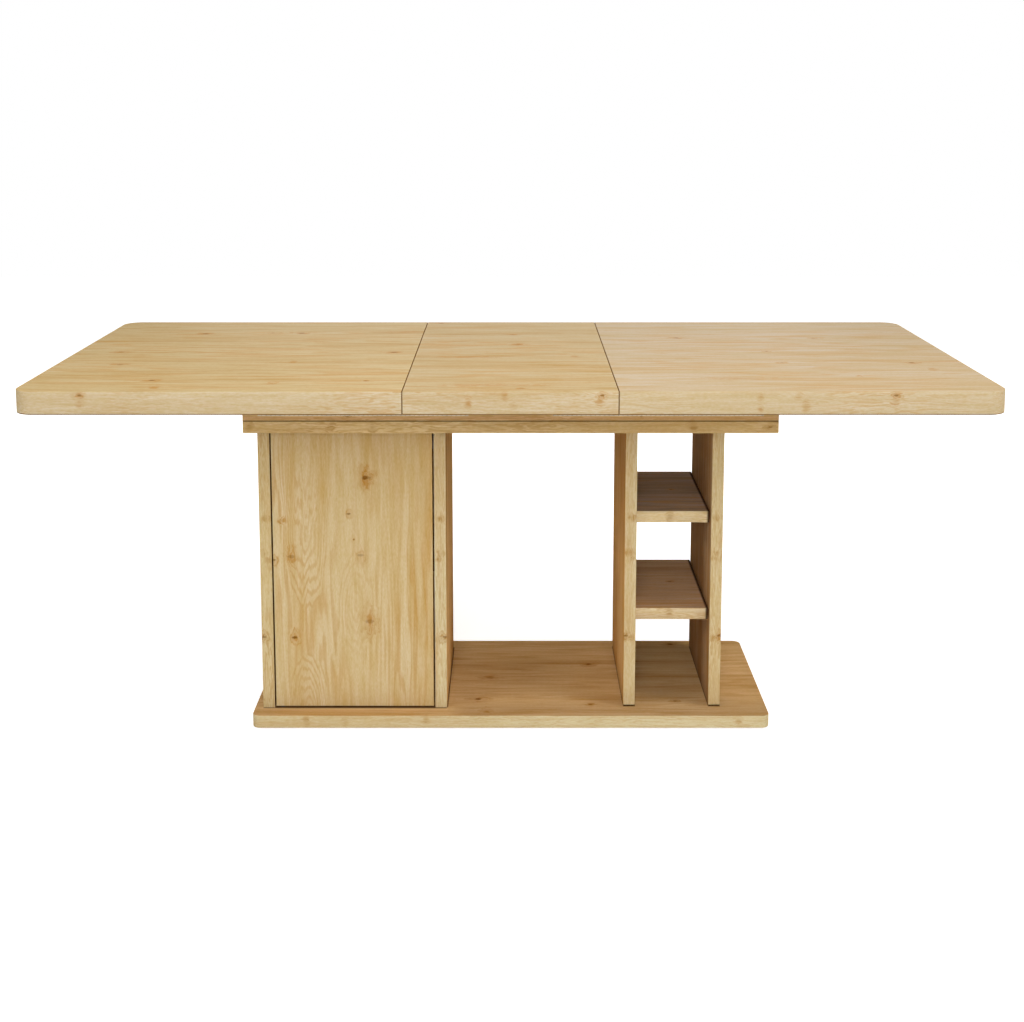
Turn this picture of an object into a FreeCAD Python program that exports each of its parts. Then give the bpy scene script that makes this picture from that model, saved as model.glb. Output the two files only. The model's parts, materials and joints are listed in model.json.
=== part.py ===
"""Extending kitchen table on a pedestal made of a storage cabinet and a column of open shelves.

Lengths are in millimetres. The origin is the middle of the footprint on the floor, +X runs along
the table to the right, -Y points to the side that the cabinet door opens on, and +Z is up. The
table stands as it is used with its leaf in: the two halves of the top are drawn apart on their
slides and the leaf fills the space between them.
"""
import FreeCAD
import Part
import Sketcher
import math
import os
import re
from FreeCAD import Placement, Rotation, Vector

SIZES = (
    ("table_height", 746, "floor to the top surface"),
    ("top_length", 1840, "both halves with the leaf between them"),
    ("top_width", 800, "front to back"),
    ("top_thickness", 44, "halves and leaf alike"),
    ("top_corner", 38, "plan radius of the corners of the top"),
    ("top_ease", 1.2, "radius worked on the edges of the top"),
    ("leaf_length", 400, "leaf, along the table"),
    ("seam", 0.5, "gap at each end of the leaf"),
    ("glide_height", 3, "felt under the base"),
    ("glide_radius", 15, "felt disc"),
    ("glide_inset", 35, "felt disc's centre to the edges of the base"),
    ("base_length", 1058, "base board; the frame has the same length"),
    ("base_width", 400, "base board, front to back"),
    ("base_thickness", 26, "base board"),
    ("base_corner", 16, "plan radius of the base board"),
    ("board", 24, "side panels, shelves and the board under the frame"),
    ("ease", 0.8, "radius worked on the edges of the boards"),
    ("cabinet_width", 380, "outside of both cabinet sides"),
    ("cabinet_depth", 320, "cabinet sides, front to back"),
    ("cabinet_inset", 17, "end of the base to the cabinet"),
    ("back_thickness", 12, "cabinet back"),
    ("column_width", 200, "outside of both column sides"),
    ("column_depth", 320, "column sides, front to back"),
    ("column_inset", 96, "column to the end of the base"),
    ("column_setback", 7, "column front behind the cabinet front"),
    ("foot_gap", 3, "spacers under the column sides"),
    ("spacer_radius", 10, "spacers under the column sides"),
    ("shelf_setback", 13, "column shelf behind the column front"),
    ("shelf_gap", 2, "joint between a column shelf and the outer side"),
    ("loose_thickness", 16, "loose cabinet shelf"),
    ("loose_gap", 1, "loose shelf to the sides"),
    ("loose_front", 30, "loose shelf behind the cabinet front"),
    ("pin_radius", 2.5, "shelf pins"),
    ("pin_half", 8, "half the length of a shelf pin"),
    ("pin_place", 105, "shelf pins from the middle of the loose shelf"),
    ("frame_width", 440, "frame and its board, front to back"),
    ("rail_height", 52, "frame rails"),
    ("rail_thickness", 18, "frame rails"),
    ("frame_pitch", 240, "screws along the front and back rails"),
    ("end_place", 100, "screws of the end rails from the middle"),
    ("pad_height", 2, "felt between the frame and the leaf"),
    ("pad_radius", 8, "felt disc"),
    ("pad_place", 170, "outer felts from the middle of the table"),
    ("door_thickness", 18, "door panel"),
    ("door_gap", 3, "gap round the door"),
    ("pivot_edge", 14, "pivot to the hung edge of the door"),
    ("pivot_radius", 3, "pivot pin"),
    ("pivot_depth", 14, "pin inside the door"),
    ("pivot_spare", 2, "end of the pin to the bottom of its bush"),
    ("bush_radius", 5, "pivot bush in the board"),
    ("bush_depth", 10, "pivot bush in the board"),
    ("flange_radius", 7, "pivot bush outside the board"),
    ("flange_height", 2.9, "pivot bush outside the board"),
    ("running", 0.05, "radial clearance of the pivot and of driven fasteners"),
    ("slide_near", 83, "middle of the table to the fixed member of a slide"),
    ("slide_length", 414, "both members of a slide"),
    ("slide_height", 35, "fixed member"),
    ("slide_depth", 11.5, "fixed member, out from the frame"),
    ("slide_drop", 3.7, "top of the frame rail to the slide"),
    ("slide_gauge", 1.4, "steel sheet"),
    ("slide_lip", 1.2, "turned-in edge of the fixed member"),
    ("slide_gap", 0.5, "between the two members"),
    ("moving_height", 25, "moving member"),
    ("moving_tip", 5.4, "frame to the flanges of the moving member"),
    ("cage_near", 300, "middle of the table to a ball cage"),
    ("cage_length", 150, "ball cage"),
    ("cage_gap", 3.6, "frame to the ball cage"),
    ("cage_gauge", 0.8, "ball cage web"),
    ("cage_reach", 10, "frame to the edge of the ball cage"),
    ("strip", 1, "ball cage flanges"),
    ("ball_radius", 1.5, "slide balls"),
    ("ball_play", 0.15, "ball to its pocket in the cage"),
    ("ball_row", 3.2, "edge of the slide to the balls' centres"),
    ("ball_reach", 8.3, "frame to the balls' centres"),
    ("ball_pitch", 24, "ball to ball"),
    ("batten_near", 260, "middle of the table to a batten"),
    ("batten_length", 560, "battens under the halves"),
    ("batten_width", 20, "battens, front to back"),
    ("batten_height", 32, "battens"),
    ("peg_radius", 4, "leaf pegs"),
    ("peg_play", 0.4, "leaf peg to its hole"),
    ("peg_inside", 15, "peg inside the leaf"),
    ("peg_below", 12, "peg below the leaf"),
    ("peg_place", 120, "pegs from the middle of the table"),
    ("dowel_radius", 4, "wood dowels"),
    ("dowel_half", 15, "half the length of a dowel"),
    ("dowel_end", 12, "dowel inside the board that it joins end-on"),
    ("dowel_place", 60, "dowels from the middle of a side panel"),
    ("shelf_place", 100, "shelf dowels from the middle of a side panel"),
    ("back_dowel_radius", 3, "dowels of the cabinet back"),
    ("back_dowel_half", 12, "half the length of a back dowel"),
    ("screw_place", 110, "long screws from the middle of a side panel"),
    ("latch_width", 20, "push latch"),
    ("latch_length", 60, "push latch"),
    ("latch_height", 16, "push latch"),
    ("latch_front", 25, "push latch behind the cabinet front"),
    ("latch_floor", 4, "closed end of the push latch"),
    ("latch_plate", 3, "fixing plate of the push latch"),
    ("plate_length", 40, "fixing plate, front to back"),
    ("plate_height", 32, "fixing plate"),
    ("latch_spread", 12, "latch screws from the plunger"),
    ("latch_level", 45, "plunger below the board under the frame"),
    ("latch_reach", 10, "inner side panel to the plunger"),
    ("plunger_radius", 4.2, "push latch plunger"),
    ("plunger_length", 50, "plunger without its magnet"),
    ("plunger_play", 0.4, "plunger to its bore and to the door"),
    ("magnet_length", 3, "magnet on the plunger"),
    ("strike_radius", 5, "steel disc let into the door"),
    ("strike_depth", 1.5, "steel disc let into the door"),
)

# Each of these is an expression of the cells above, and may use the others.
PLACES = {
    "base_top": "glide_height + base_thickness",
    "top_underside": "table_height - top_thickness",
    "rail_top": "top_underside - pad_height",
    "frame_floor": "rail_top - rail_height",
    "frame_underside": "frame_floor - board",
    "cabinet_left": "cabinet_inset - base_length/2",
    "cabinet_front": "-cabinet_depth/2",
    "cabinet_right": "cabinet_left + cabinet_width",
    "column_right": "base_length/2 - column_inset",
    "column_left": "column_right - column_width",
    "column_front": "cabinet_front + column_setback",
    "column_middle": "column_front + column_depth/2",
    "foot_level": "base_top + foot_gap",
    "door_left": "cabinet_left + board + door_gap",
    "door_width": "cabinet_width - 2*board - 2*door_gap",
    "door_bottom": "base_top + door_gap",
    "door_height": "frame_underside - base_top - 2*door_gap",
    "door_back": "cabinet_front + door_thickness",
    "pivot_x": "door_left + pivot_edge",
    "pivot_y": "cabinet_front + door_thickness/2",
    "bay": "(frame_underside - base_top - 2*board)/3",
    "half_length": "(top_length - leaf_length)/2",
    "rail_middle": "(frame_width - rail_thickness)/2",
    "frame_face": "frame_width/2",
    "slide_floor": "rail_top - slide_drop - slide_height",
    "slide_middle": "rail_top - slide_drop - slide_height/2",
    "moving_face": "slide_depth + slide_gap + slide_gauge",
    "moving_floor": "(slide_height - moving_height)/2",
    "loose_level": "(base_top + frame_underside)/2 - loose_thickness",
    "loose_middle": "(loose_front - back_thickness - loose_gap)/2",
    "latch_x": "cabinet_right - board - latch_reach",
    "latch_z": "frame_underside - latch_level",
    "plunger_tip": "door_back + plunger_play",
}

LEFT, RIGHT = -1, 1
FRONT, BACK = -1, 1
SIDES = (("left", LEFT), ("right", RIGHT))
FACES = (("front", FRONT), ("back", BACK))

UPWARD = Rotation()
DOWNWARD = Rotation(Vector(1, 0, 0), 180)
RIGHTWARD = Rotation(Vector(0, 1, 0), 90)
BACKWARD = Rotation(Vector(1, 0, 0), -90)
FORWARD = Rotation(Vector(1, 0, 0), 90)
START = ("0", "0", "0")

# Fasteners: head radius, head height, shank radius, whole length, and whether the head tapers.
FASTENERS = {
    "long_screw": ("5", "4.5", "3.5", "50", False),
    "wood_screw": ("4.4", "2.6", "2.2", "48", True),
    "batten_screw": ("4.2", "2.4", "2.1", "45", True),
    "sheet_screw": ("3.4", "1.4", "2", "16", False),
    "latch_screw": ("3.2", "1.8", "1.7", "16", True),
}
SHEET_HEAD = FASTENERS["sheet_screw"][1]
LONG_SHANK = FASTENERS["long_screw"][2]

# Places of the screws along a slide member and along a batten, from the end near the middle.
MEMBER_HOLES = (27, 207, 387)
BATTEN_HOLES = (20, 190, 330, 540)

# Places of the balls along a cage, in pitches, and of the back's dowels, as shares of its height.
BALL_STEPS = (-2.5, -1.5, -0.5, 0.5, 1.5, 2.5)
BACK_DOWEL_SHARES = (0.12, 0.5, 0.88)

NAME = re.compile(r"[a-z][a-z_]*")
TINY = 1e-6

document = FreeCAD.newDocument("kitchen_table")
sheet = document.addObject("Spreadsheet::Sheet", "sizes")
nodes = {}


# ---------------------------------------------------------------------------------- helpers

def fill_sheet():
    """Write every driving dimension to the sheet: name, value with its alias, and meaning."""
    for row, (name, value, meaning) in enumerate(SIZES, start=1):
        sheet.set(f"A{row}", name)
        sheet.set(f"B{row}", str(value))
        sheet.setAlias(f"B{row}", name)
        sheet.set(f"C{row}", meaning)
    document.recompute()


def bound(text):
    """Return the text as an expression in which every name is a cell of the sheet."""
    def cell(match):
        word = match.group(0)
        if word in PLACES:
            return f"({bound(PLACES[word])})"
        return f"sizes.{word}"
    return NAME.sub(cell, str(text))


def put(item, spot, turn=UPWARD):
    """Turn an item and bind its place to the sheet."""
    item.Placement = Placement(Vector(), turn)
    for axis, text in zip("xyz", spot):
        item.setExpression(f"Placement.Base.{axis}", bound(text))
    return item


def publish(label, item):
    """Make an item a sub-part: its label names its file."""
    item.Label = label
    nodes[label] = item
    return item


def outline(body, role, corners):
    """Draw a closed outline in one of the body's own planes, each corner bound to the sheet."""
    sketch = body.newObject("Sketcher::SketchObject", f"{body.Name}_outline")
    plane = [item for item in body.Origin.OriginFeatures if item.Role == role][0]
    sketch.AttachmentSupport = [(plane, "")]
    sketch.MapMode = "FlatFace"
    count = len(corners)
    turn = 2*math.pi/count
    start = [Vector(10*math.cos(turn*i), 10*math.sin(turn*i), 0) for i in range(count)]
    for i in range(count):
        sketch.addGeometry(Part.LineSegment(start[i], start[(i + 1) % count]), False)
    for i in range(count):
        sketch.addConstraint(Sketcher.Constraint("Coincident", i, 2, (i + 1) % count, 1))
    for i, corner in enumerate(corners):
        for kind, text, value in zip(("DistanceX", "DistanceY"), corner, start[i]):
            index = sketch.addConstraint(Sketcher.Constraint(kind, -1, 1, i, 1, value))
            sketch.setExpression(f"Constraints[{index}]", bound(text))
    return sketch


def padded(name, role, corners, length):
    """Make a body by padding an outline."""
    body = document.addObject("PartDesign::Body", name)
    sketch = outline(body, role, corners)
    pad = body.newObject("PartDesign::Pad", f"{name}_pad")
    pad.Profile = sketch
    pad.setExpression("Length", bound(length))
    document.recompute()
    return body


def turned(name, corners):
    """Make a body by turning an outline of (radius, height) corners about Z."""
    body = document.addObject("PartDesign::Body", name)
    sketch = outline(body, "XZ_Plane", corners)
    turning = body.newObject("PartDesign::Revolution", f"{name}_turning")
    turning.Profile = sketch
    turning.ReferenceAxis = (sketch, ["V_Axis"])
    turning.Angle = 360
    document.recompute()
    return body


def slab(name, corner, size):
    """Make a rectangular board from its lowest corner and its size along X, Y and Z."""
    length, width, height = size
    plan = (("0", "0"), (length, "0"), (length, width), ("0", width))
    return put(padded(name, "XY_Plane", plan, height), corner)


def rod(name, radius, length, spot, turn=UPWARD):
    """Make a cylinder that starts at a spot and runs the way the turn points +Z."""
    item = document.addObject("Part::Cylinder", name)
    item.setExpression("Radius", bound(radius))
    item.setExpression("Height", bound(length))
    return put(item, spot, turn)


def block(name, corner, size):
    """Make a plain box from its lowest corner and its size along X, Y and Z."""
    item = document.addObject("Part::Box", name)
    for side, text in zip(("Length", "Width", "Height"), size):
        item.setExpression(side, bound(text))
    return put(item, corner)


def together(name, items):
    """Group separate solids in one compound."""
    group = document.addObject("Part::Compound", name)
    group.Links = list(items)
    return group


def spread(name, master, spots, turns=UPWARD):
    """Repeat a master piece at several spots, all turned alike or each its own way."""
    copies = []
    if not isinstance(turns, list):
        turns = [turns]*len(spots)
    for number, (spot, turn) in enumerate(zip(spots, turns), start=1):
        link = document.addObject("App::Link", f"{name}_{number}")
        link.LinkedObject = master
        copies.append(put(link, spot, turn))
    return together(name, copies)


def bored(label, blank, tools):
    """Cut the tools from a blank and publish what is left."""
    cut = document.addObject("Part::Cut", f"{label}_bored")
    cut.Base = blank
    cut.Tool = tools[0] if len(tools) == 1 else together(f"{label}_tools", tools)
    return publish(label, cut)


def upright(edge, whole):
    """Tell whether an edge runs along Z."""
    return edge.BoundBox.XLength < TINY and edge.BoundBox.YLength < TINY


def lying(edge, whole):
    """Tell whether an edge lies in a level plane."""
    return edge.BoundBox.ZLength < TINY


def lengthways(edge, whole):
    """Tell whether an edge runs along X."""
    return edge.BoundBox.YLength < TINY and edge.BoundBox.ZLength < TINY


def any_edge(edge, whole):
    """Pass every edge."""
    return True


def left_corner(edge, whole):
    """Tell whether an edge is an upright corner at the left end."""
    return upright(edge, whole) and edge.BoundBox.XMin < whole.XMin + TINY


def right_corner(edge, whole):
    """Tell whether an edge is an upright corner at the right end."""
    return upright(edge, whole) and edge.BoundBox.XMax > whole.XMax - TINY


def rounded(body, test, radius):
    """Round the edges of a body's last feature that pass a test."""
    base = body.Tip
    whole = base.Shape.BoundBox
    edges = [f"Edge{number}" for number, edge in enumerate(base.Shape.Edges, start=1)
             if test(edge, whole)]
    fillet = body.newObject("PartDesign::Fillet", f"{body.Name}_round")
    fillet.Base = (base, edges)
    fillet.setExpression("Radius", bound(radius))
    document.recompute()
    return body


def board(label, corner, size, eased, tools=()):
    """Make an eased board, bore it and publish it."""
    blank = rounded(slab(f"{label}_blank", corner, size), eased, "ease")
    return bored(label, blank, tools) if tools else publish(label, blank)


def fastener(name, kind, spare="0"):
    """Turn a fastener with its head at the origin and its point towards +Z."""
    head, head_height, shank, length, tapers = FASTENERS[kind]
    neck = f"{shank} + {spare}" if tapers else f"{head} + {spare}"
    corners = [("0", "0"), (f"{head} + {spare}", "0"), (neck, head_height)]
    if not tapers:
        corners.append((f"{shank} + {spare}", head_height))
    corners += [(f"{shank} + {spare}", f"{length} + {spare}"), ("0", f"{length} + {spare}")]
    return turned(name, corners)


def fastened(label, kind, spots, turns):
    """Publish a group of fasteners and return the holes that they need."""
    publish(label, spread(label, fastener(f"{label}_master", kind), spots, turns))
    hole = fastener(f"{label}_hole", kind, "running")
    return spread(f"{label}_holes", hole, spots, turns)


def pinned(label, radius, length, spots, turns):
    """Publish a group of plain pins that start at their spots, and return their holes."""
    pin = rod(f"{label}_master", radius, length, START)
    hole = rod(f"{label}_hole", f"{radius} + running", length, START)
    publish(label, spread(label, pin, spots, turns))
    return spread(f"{label}_holes", hole, spots, turns)


def low_end(side, near, extent):
    """Give the lower coordinate of a stretch that begins near the middle, on one side of it."""
    return near if side > 0 else f"-({near}) - ({extent})"


def channel(side, web, inner, reach, low, high, flange, lip=None):
    """List the corners of a channel section, outwards from the frame's face on one side.

    The web lies between the distances web and inner, the flanges reach out to the distance
    reach, and a lip turns their edges towards each other.
    """
    upper, lower = f"{high} - {flange}", f"{low} + {flange}"
    corners = [(web, low), (reach, low)]
    if lip:
        corners += [(reach, f"{lower} + {lip}"), (f"{reach} - {flange}", f"{lower} + {lip}"),
                    (f"{reach} - {flange}", lower)]
    else:
        corners.append((reach, lower))
    corners += [(inner, lower), (inner, upper)]
    if lip:
        corners += [(f"{reach} - {flange}", upper), (f"{reach} - {flange}", f"{upper} - {lip}"),
                    (reach, f"{upper} - {lip}")]
    else:
        corners.append((reach, upper))
    corners += [(reach, high), (web, high)]
    return [(f"{side}*({out})", level) for out, level in corners]


# ------------------------------------------------------------------------- shared positions

PANELS = (
    ("cabinet_left + board/2", "0"),
    ("cabinet_right - board/2", "0"),
    ("column_left + board/2", "column_middle"),
    ("column_right - board/2", "column_middle"),
)


def panel_spots(offset, level):
    """List two spots in each side panel, an offset before and behind its middle."""
    return [(x, f"{middle} {sign} {offset}", level) for x, middle in PANELS for sign in "-+"]


def frame_point(face, out):
    """Give the Y of a point that lies a distance out from the frame's front or back face."""
    return f"{face}*(frame_face + {out})"


# ---------------------------------------------------------------------------------- pedestal

def make_panel_joints():
    """Make the screws and dowels that hold the side panels, and return all their holes."""
    low = fastened("base_screws", "long_screw", panel_spots("screw_place", "glide_height"), UPWARD)
    high = fastened("frame_board_screws", "long_screw",
                    panel_spots("screw_place", "frame_floor"), DOWNWARD)
    spots = panel_spots("dowel_place", "base_top - dowel_end")
    spots += panel_spots("dowel_place", "frame_underside + dowel_end - 2*dowel_half")
    dowels = pinned("panel_dowels", "dowel_radius", "2*dowel_half", spots, UPWARD)
    return together("panel_joints", (low, high, dowels))


def make_base(panel_joints):
    """Make the base board with its glides and the lower pivot bush's seat."""
    seat = rod("lower_bush_seat", "bush_radius + running", "bush_depth",
               ("pivot_x", "pivot_y", "base_top - bush_depth"))
    blank = slab("base_board_blank", ("-base_length/2", "-base_width/2", "glide_height"),
                 ("base_length", "base_width", "base_thickness"))
    rounded(blank, upright, "base_corner")
    rounded(blank, lying, "ease")
    bored("base_board", blank, (panel_joints, seat))
    disc = rod("glide_master", "glide_radius", "glide_height", START)
    spots = [(f"{x}*(base_length/2 - glide_inset)", f"{y}*(base_width/2 - glide_inset)", "0")
             for x in (-1, 0, 1) for y in (-1, 1)]
    publish("floor_glides", spread("floor_glides", disc, spots))


def make_cabinet(panel_joints, latch_holes):
    """Make the cabinet: two sides, a dowelled back, and a loose shelf on pins."""
    height = "frame_underside - base_top"
    width = "cabinet_width - 2*board"
    walls = ("cabinet_left + board", "cabinet_right - board")
    dowels = [(f"{wall} - back_dowel_half", "(cabinet_depth - back_thickness)/2",
               f"base_top + ({height})*{share}") for wall in walls for share in BACK_DOWEL_SHARES]
    back_holes = pinned("cabinet_back_dowels", "back_dowel_radius", "2*back_dowel_half", dowels,
                        RIGHTWARD)
    pins = [(f"{wall} - pin_half", f"loose_middle {sign} pin_place", "loose_level - pin_radius")
            for wall in walls for sign in "-+"]
    pin_holes = pinned("cabinet_shelf_pins", "pin_radius", "2*pin_half", pins, RIGHTWARD)
    size = ("board", "cabinet_depth", height)
    board("cabinet_outer_side", ("cabinet_left", "cabinet_front", "base_top"), size, upright,
          (panel_joints, back_holes, pin_holes))
    board("cabinet_inner_side", ("cabinet_right - board", "cabinet_front", "base_top"), size,
          upright, (panel_joints, back_holes, pin_holes, latch_holes))
    board("cabinet_back", ("cabinet_left + board", "cabinet_depth/2 - back_thickness", "base_top"),
          (width, "back_thickness", height), upright, (back_holes,))
    board("cabinet_shelf",
          ("cabinet_left + board + loose_gap", "cabinet_front + loose_front", "loose_level"),
          (f"{width} - 2*loose_gap", "cabinet_depth - loose_front - back_thickness - loose_gap",
           "loose_thickness"), lengthways)


def make_column(panel_joints):
    """Make the column: two sides on spacers, and two shelves dowelled between them."""
    inside = "column_left + board"
    outside = "column_right - board"
    levels = {"column_lower_shelf": "base_top + bay",
              "column_upper_shelf": "base_top + 2*bay + board"}
    spots = [(x, f"column_middle {sign} shelf_place", f"{level} + board/2")
             for level in levels.values() for sign in "-+"
             for x in (f"{inside} - dowel_end", f"{outside} + dowel_end - 2*dowel_half")]
    shelf_holes = pinned("shelf_dowels", "dowel_radius", "2*dowel_half", spots, RIGHTWARD)
    size = ("board", "column_depth", "frame_underside - foot_level")
    for label, x in (("column_inner_side", "column_left"), ("column_outer_side", outside)):
        board(label, (x, "column_front", "foot_level"), size, upright,
              (panel_joints, shelf_holes))
    size = ("column_width - 2*board - shelf_gap", "column_depth - shelf_setback", "board")
    for label, level in levels.items():
        board(label, (inside, "column_front + shelf_setback", level), size, lengthways,
              (shelf_holes,))
    bore = f"{LONG_SHANK} + running"
    ring = turned("spacer_master", ((bore, "0"), ("spacer_radius", "0"),
                                    ("spacer_radius", "foot_gap"), (bore, "foot_gap")))
    feet = [spot for spot in panel_spots("screw_place", "base_top") if "column" in spot[0]]
    publish("column_foot_spacers", spread("column_foot_spacers", ring, feet))


# ------------------------------------------------------------------------------------- frame

def make_frame(panel_joints, slide_holes):
    """Make the frame that carries the top: a board, four rails, their screws and the felts."""
    seat = rod("upper_bush_seat", "bush_radius + running", "bush_depth",
               ("pivot_x", "pivot_y", "frame_underside"))
    spots = [(f"{step}*frame_pitch", f"{face}*rail_middle", "frame_underside")
             for _, face in FACES for step in (-2, -1, 0, 1, 2)]
    spots += [(f"{side}*(base_length - rail_thickness)/2", f"{face}*end_place",
               "frame_underside") for _, side in SIDES for _, face in FACES]
    rail_holes = fastened("frame_screws", "wood_screw", spots, UPWARD)
    blank = slab("frame_board_blank", ("-base_length/2", "-frame_width/2", "frame_underside"),
                 ("base_length", "frame_width", "board"))
    rounded(blank, lying, "ease")
    bored("frame_board", blank, (panel_joints, seat, rail_holes))
    peg_hole = rod("peg_hole", "peg_radius + peg_play", "peg_below + pad_height", START)
    peg_spots = [(f"{side}*peg_place", f"{face}*rail_middle", "rail_top - peg_below")
                 for _, side in SIDES for _, face in FACES]
    peg_holes = spread("peg_holes", peg_hole, peg_spots)
    for name, face in FACES:
        board(f"frame_{name}_rail",
              ("-base_length/2", low_end(face, "frame_face - rail_thickness", "rail_thickness"),
               "frame_floor"),
              ("base_length", "rail_thickness", "rail_height"), lengthways,
              (rail_holes, peg_holes, slide_holes))
    for name, side in SIDES:
        board(f"frame_{name}_rail",
              (low_end(side, "base_length/2 - rail_thickness", "rail_thickness"),
               "rail_thickness - frame_face", "frame_floor"),
              ("rail_thickness", "frame_width - 2*rail_thickness", "rail_height"), lying,
              (rail_holes,))
    pad = rod("pad_master", "pad_radius", "pad_height", START)
    pads = [(f"{step}*pad_place", f"{face}*rail_middle", "rail_top") for step in (-1, 0, 1)
            for _, face in FACES]
    publish("leaf_pads", spread("leaf_pads", pad, pads))


# ------------------------------------------------------------------------------------ slides

def screw_line(side, near, y):
    """List the spots of the three screws of a slide member."""
    return [(f"{side}*({near} + {offset})", y, "slide_middle") for offset in MEMBER_HOLES]


def make_slides():
    """Make four ball slides, and return the holes that their screws need."""
    fixed_spots = []
    inward = []
    member_holes = []
    for _, face in FACES:
        for _, side in SIDES:
            y = frame_point(face, f"slide_gauge + {SHEET_HEAD}")
            fixed_spots += screw_line(side, "slide_near", y)
        inward += [BACKWARD if face == FRONT else FORWARD]*2*len(MEMBER_HOLES)
    slide_holes = fastened("slide_screws", "sheet_screw", fixed_spots, inward)
    for side_name, side in SIDES:
        spots = []
        outward = []
        for _, face in FACES:
            y = frame_point(face, f"moving_face - slide_gauge - {SHEET_HEAD}")
            spots += screw_line(side, "slide_near + leaf_length/2", y)
            outward += [FORWARD if face == FRONT else BACKWARD]*len(MEMBER_HOLES)
        member_holes.append(fastened(f"{side_name}_member_screws", "sheet_screw", spots, outward))
    member_holes = together("member_holes", member_holes)
    for side_name, side in SIDES:
        make_side_slides(side_name, side, slide_holes, member_holes)
    return slide_holes, member_holes


def make_side_slides(side_name, side, slide_holes, member_holes):
    """Make the fixed members, moving members, ball cages and balls on one side of the middle."""
    ball_spots = []
    for face_name, face in FACES:
        name = f"{side_name}_{face_name}"
        y = f"{face}*frame_face"
        fixed = padded(f"{name}_fixed_blank", "YZ_Plane",
                       channel(face, "0", "slide_gauge", "slide_depth", "0", "slide_height",
                               "slide_gauge", "slide_lip"), "slide_length")
        put(fixed, (low_end(side, "slide_near", "slide_length"), y, "slide_floor"))
        bored(f"{name}_slide_fixed", fixed, (slide_holes,))
        moving = padded(f"{name}_moving_blank", "YZ_Plane",
                        channel(face, "moving_face", "moving_face - slide_gauge", "moving_tip",
                                "moving_floor", "moving_floor + moving_height", "slide_gauge"),
                        "slide_length")
        put(moving, (low_end(side, "slide_near + leaf_length/2", "slide_length"), y,
                     "slide_floor"))
        bored(f"{name}_slide_moving", moving, (member_holes,))
        cage = padded(f"{name}_cage_blank", "YZ_Plane",
                      channel(face, "cage_gap", "cage_gap + cage_gauge", "cage_reach",
                              "ball_row - strip/2", "slide_height - ball_row + strip/2", "strip"),
                      "cage_length")
        put(cage, (low_end(side, "cage_near", "cage_length"), y, "slide_floor"))
        spots = [(f"{side}*(cage_near + cage_length/2 + ball_pitch*{step})",
                  frame_point(face, "ball_reach"), "slide_floor") for step in BALL_STEPS]
        pocket = rod(f"{name}_ball_pocket", "ball_radius + ball_play", "slide_height", START)
        bored(f"{name}_ball_cage", cage, (spread(f"{name}_ball_pockets", pocket, spots),))
        ball_spots += [(x, y, f"{z} + {row}") for x, y, z in spots
                       for row in ("ball_row", "slide_height - ball_row")]
    ball = document.addObject("Part::Sphere", f"{side_name}_ball_master")
    ball.setExpression("Radius", bound("ball_radius"))
    publish(f"{side_name}_slide_balls", spread(f"{side_name}_slide_balls", ball, ball_spots))


# --------------------------------------------------------------------------------- table top

def make_half(side_name, side, member_holes):
    """Make one half of the top with the battens that its slides are screwed to."""
    spots = [(f"{side}*(batten_near + {offset})",
              frame_point(face, "moving_face + batten_width/2"),
              "top_underside - batten_height") for _, face in FACES for offset in BATTEN_HOLES]
    holes = fastened(f"{side_name}_batten_screws", "batten_screw", spots, UPWARD)
    for face_name, face in FACES:
        board(f"{side_name}_{face_name}_batten",
              (low_end(side, "batten_near", "batten_length"),
               low_end(face, "frame_face + moving_face", "batten_width"),
               "top_underside - batten_height"),
              ("batten_length", "batten_width", "batten_height"), lengthways,
              (holes, member_holes))
    blank = slab(f"{side_name}_top_blank",
                 (low_end(side, "leaf_length/2", "half_length"), "-top_width/2", "top_underside"),
                 ("half_length", "top_width", "top_thickness"))
    rounded(blank, left_corner if side == LEFT else right_corner, "top_corner")
    rounded(blank, lying, "top_ease")
    bored(f"{side_name}_top", blank, (holes,))


def make_leaf():
    """Make the leaf and the pegs that place it on the frame."""
    spots = [(f"{side}*peg_place", f"{face}*rail_middle", "top_underside - peg_below")
             for _, side in SIDES for _, face in FACES]
    holes = pinned("leaf_pegs", "peg_radius", "peg_below + peg_inside", spots, UPWARD)
    blank = slab("centre_leaf_blank", ("seam - leaf_length/2", "-top_width/2", "top_underside"),
                 ("leaf_length - 2*seam", "top_width", "top_thickness"))
    rounded(blank, lying, "top_ease")
    bored("centre_leaf", blank, (holes,))


# -------------------------------------------------------------------------------------- door

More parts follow.
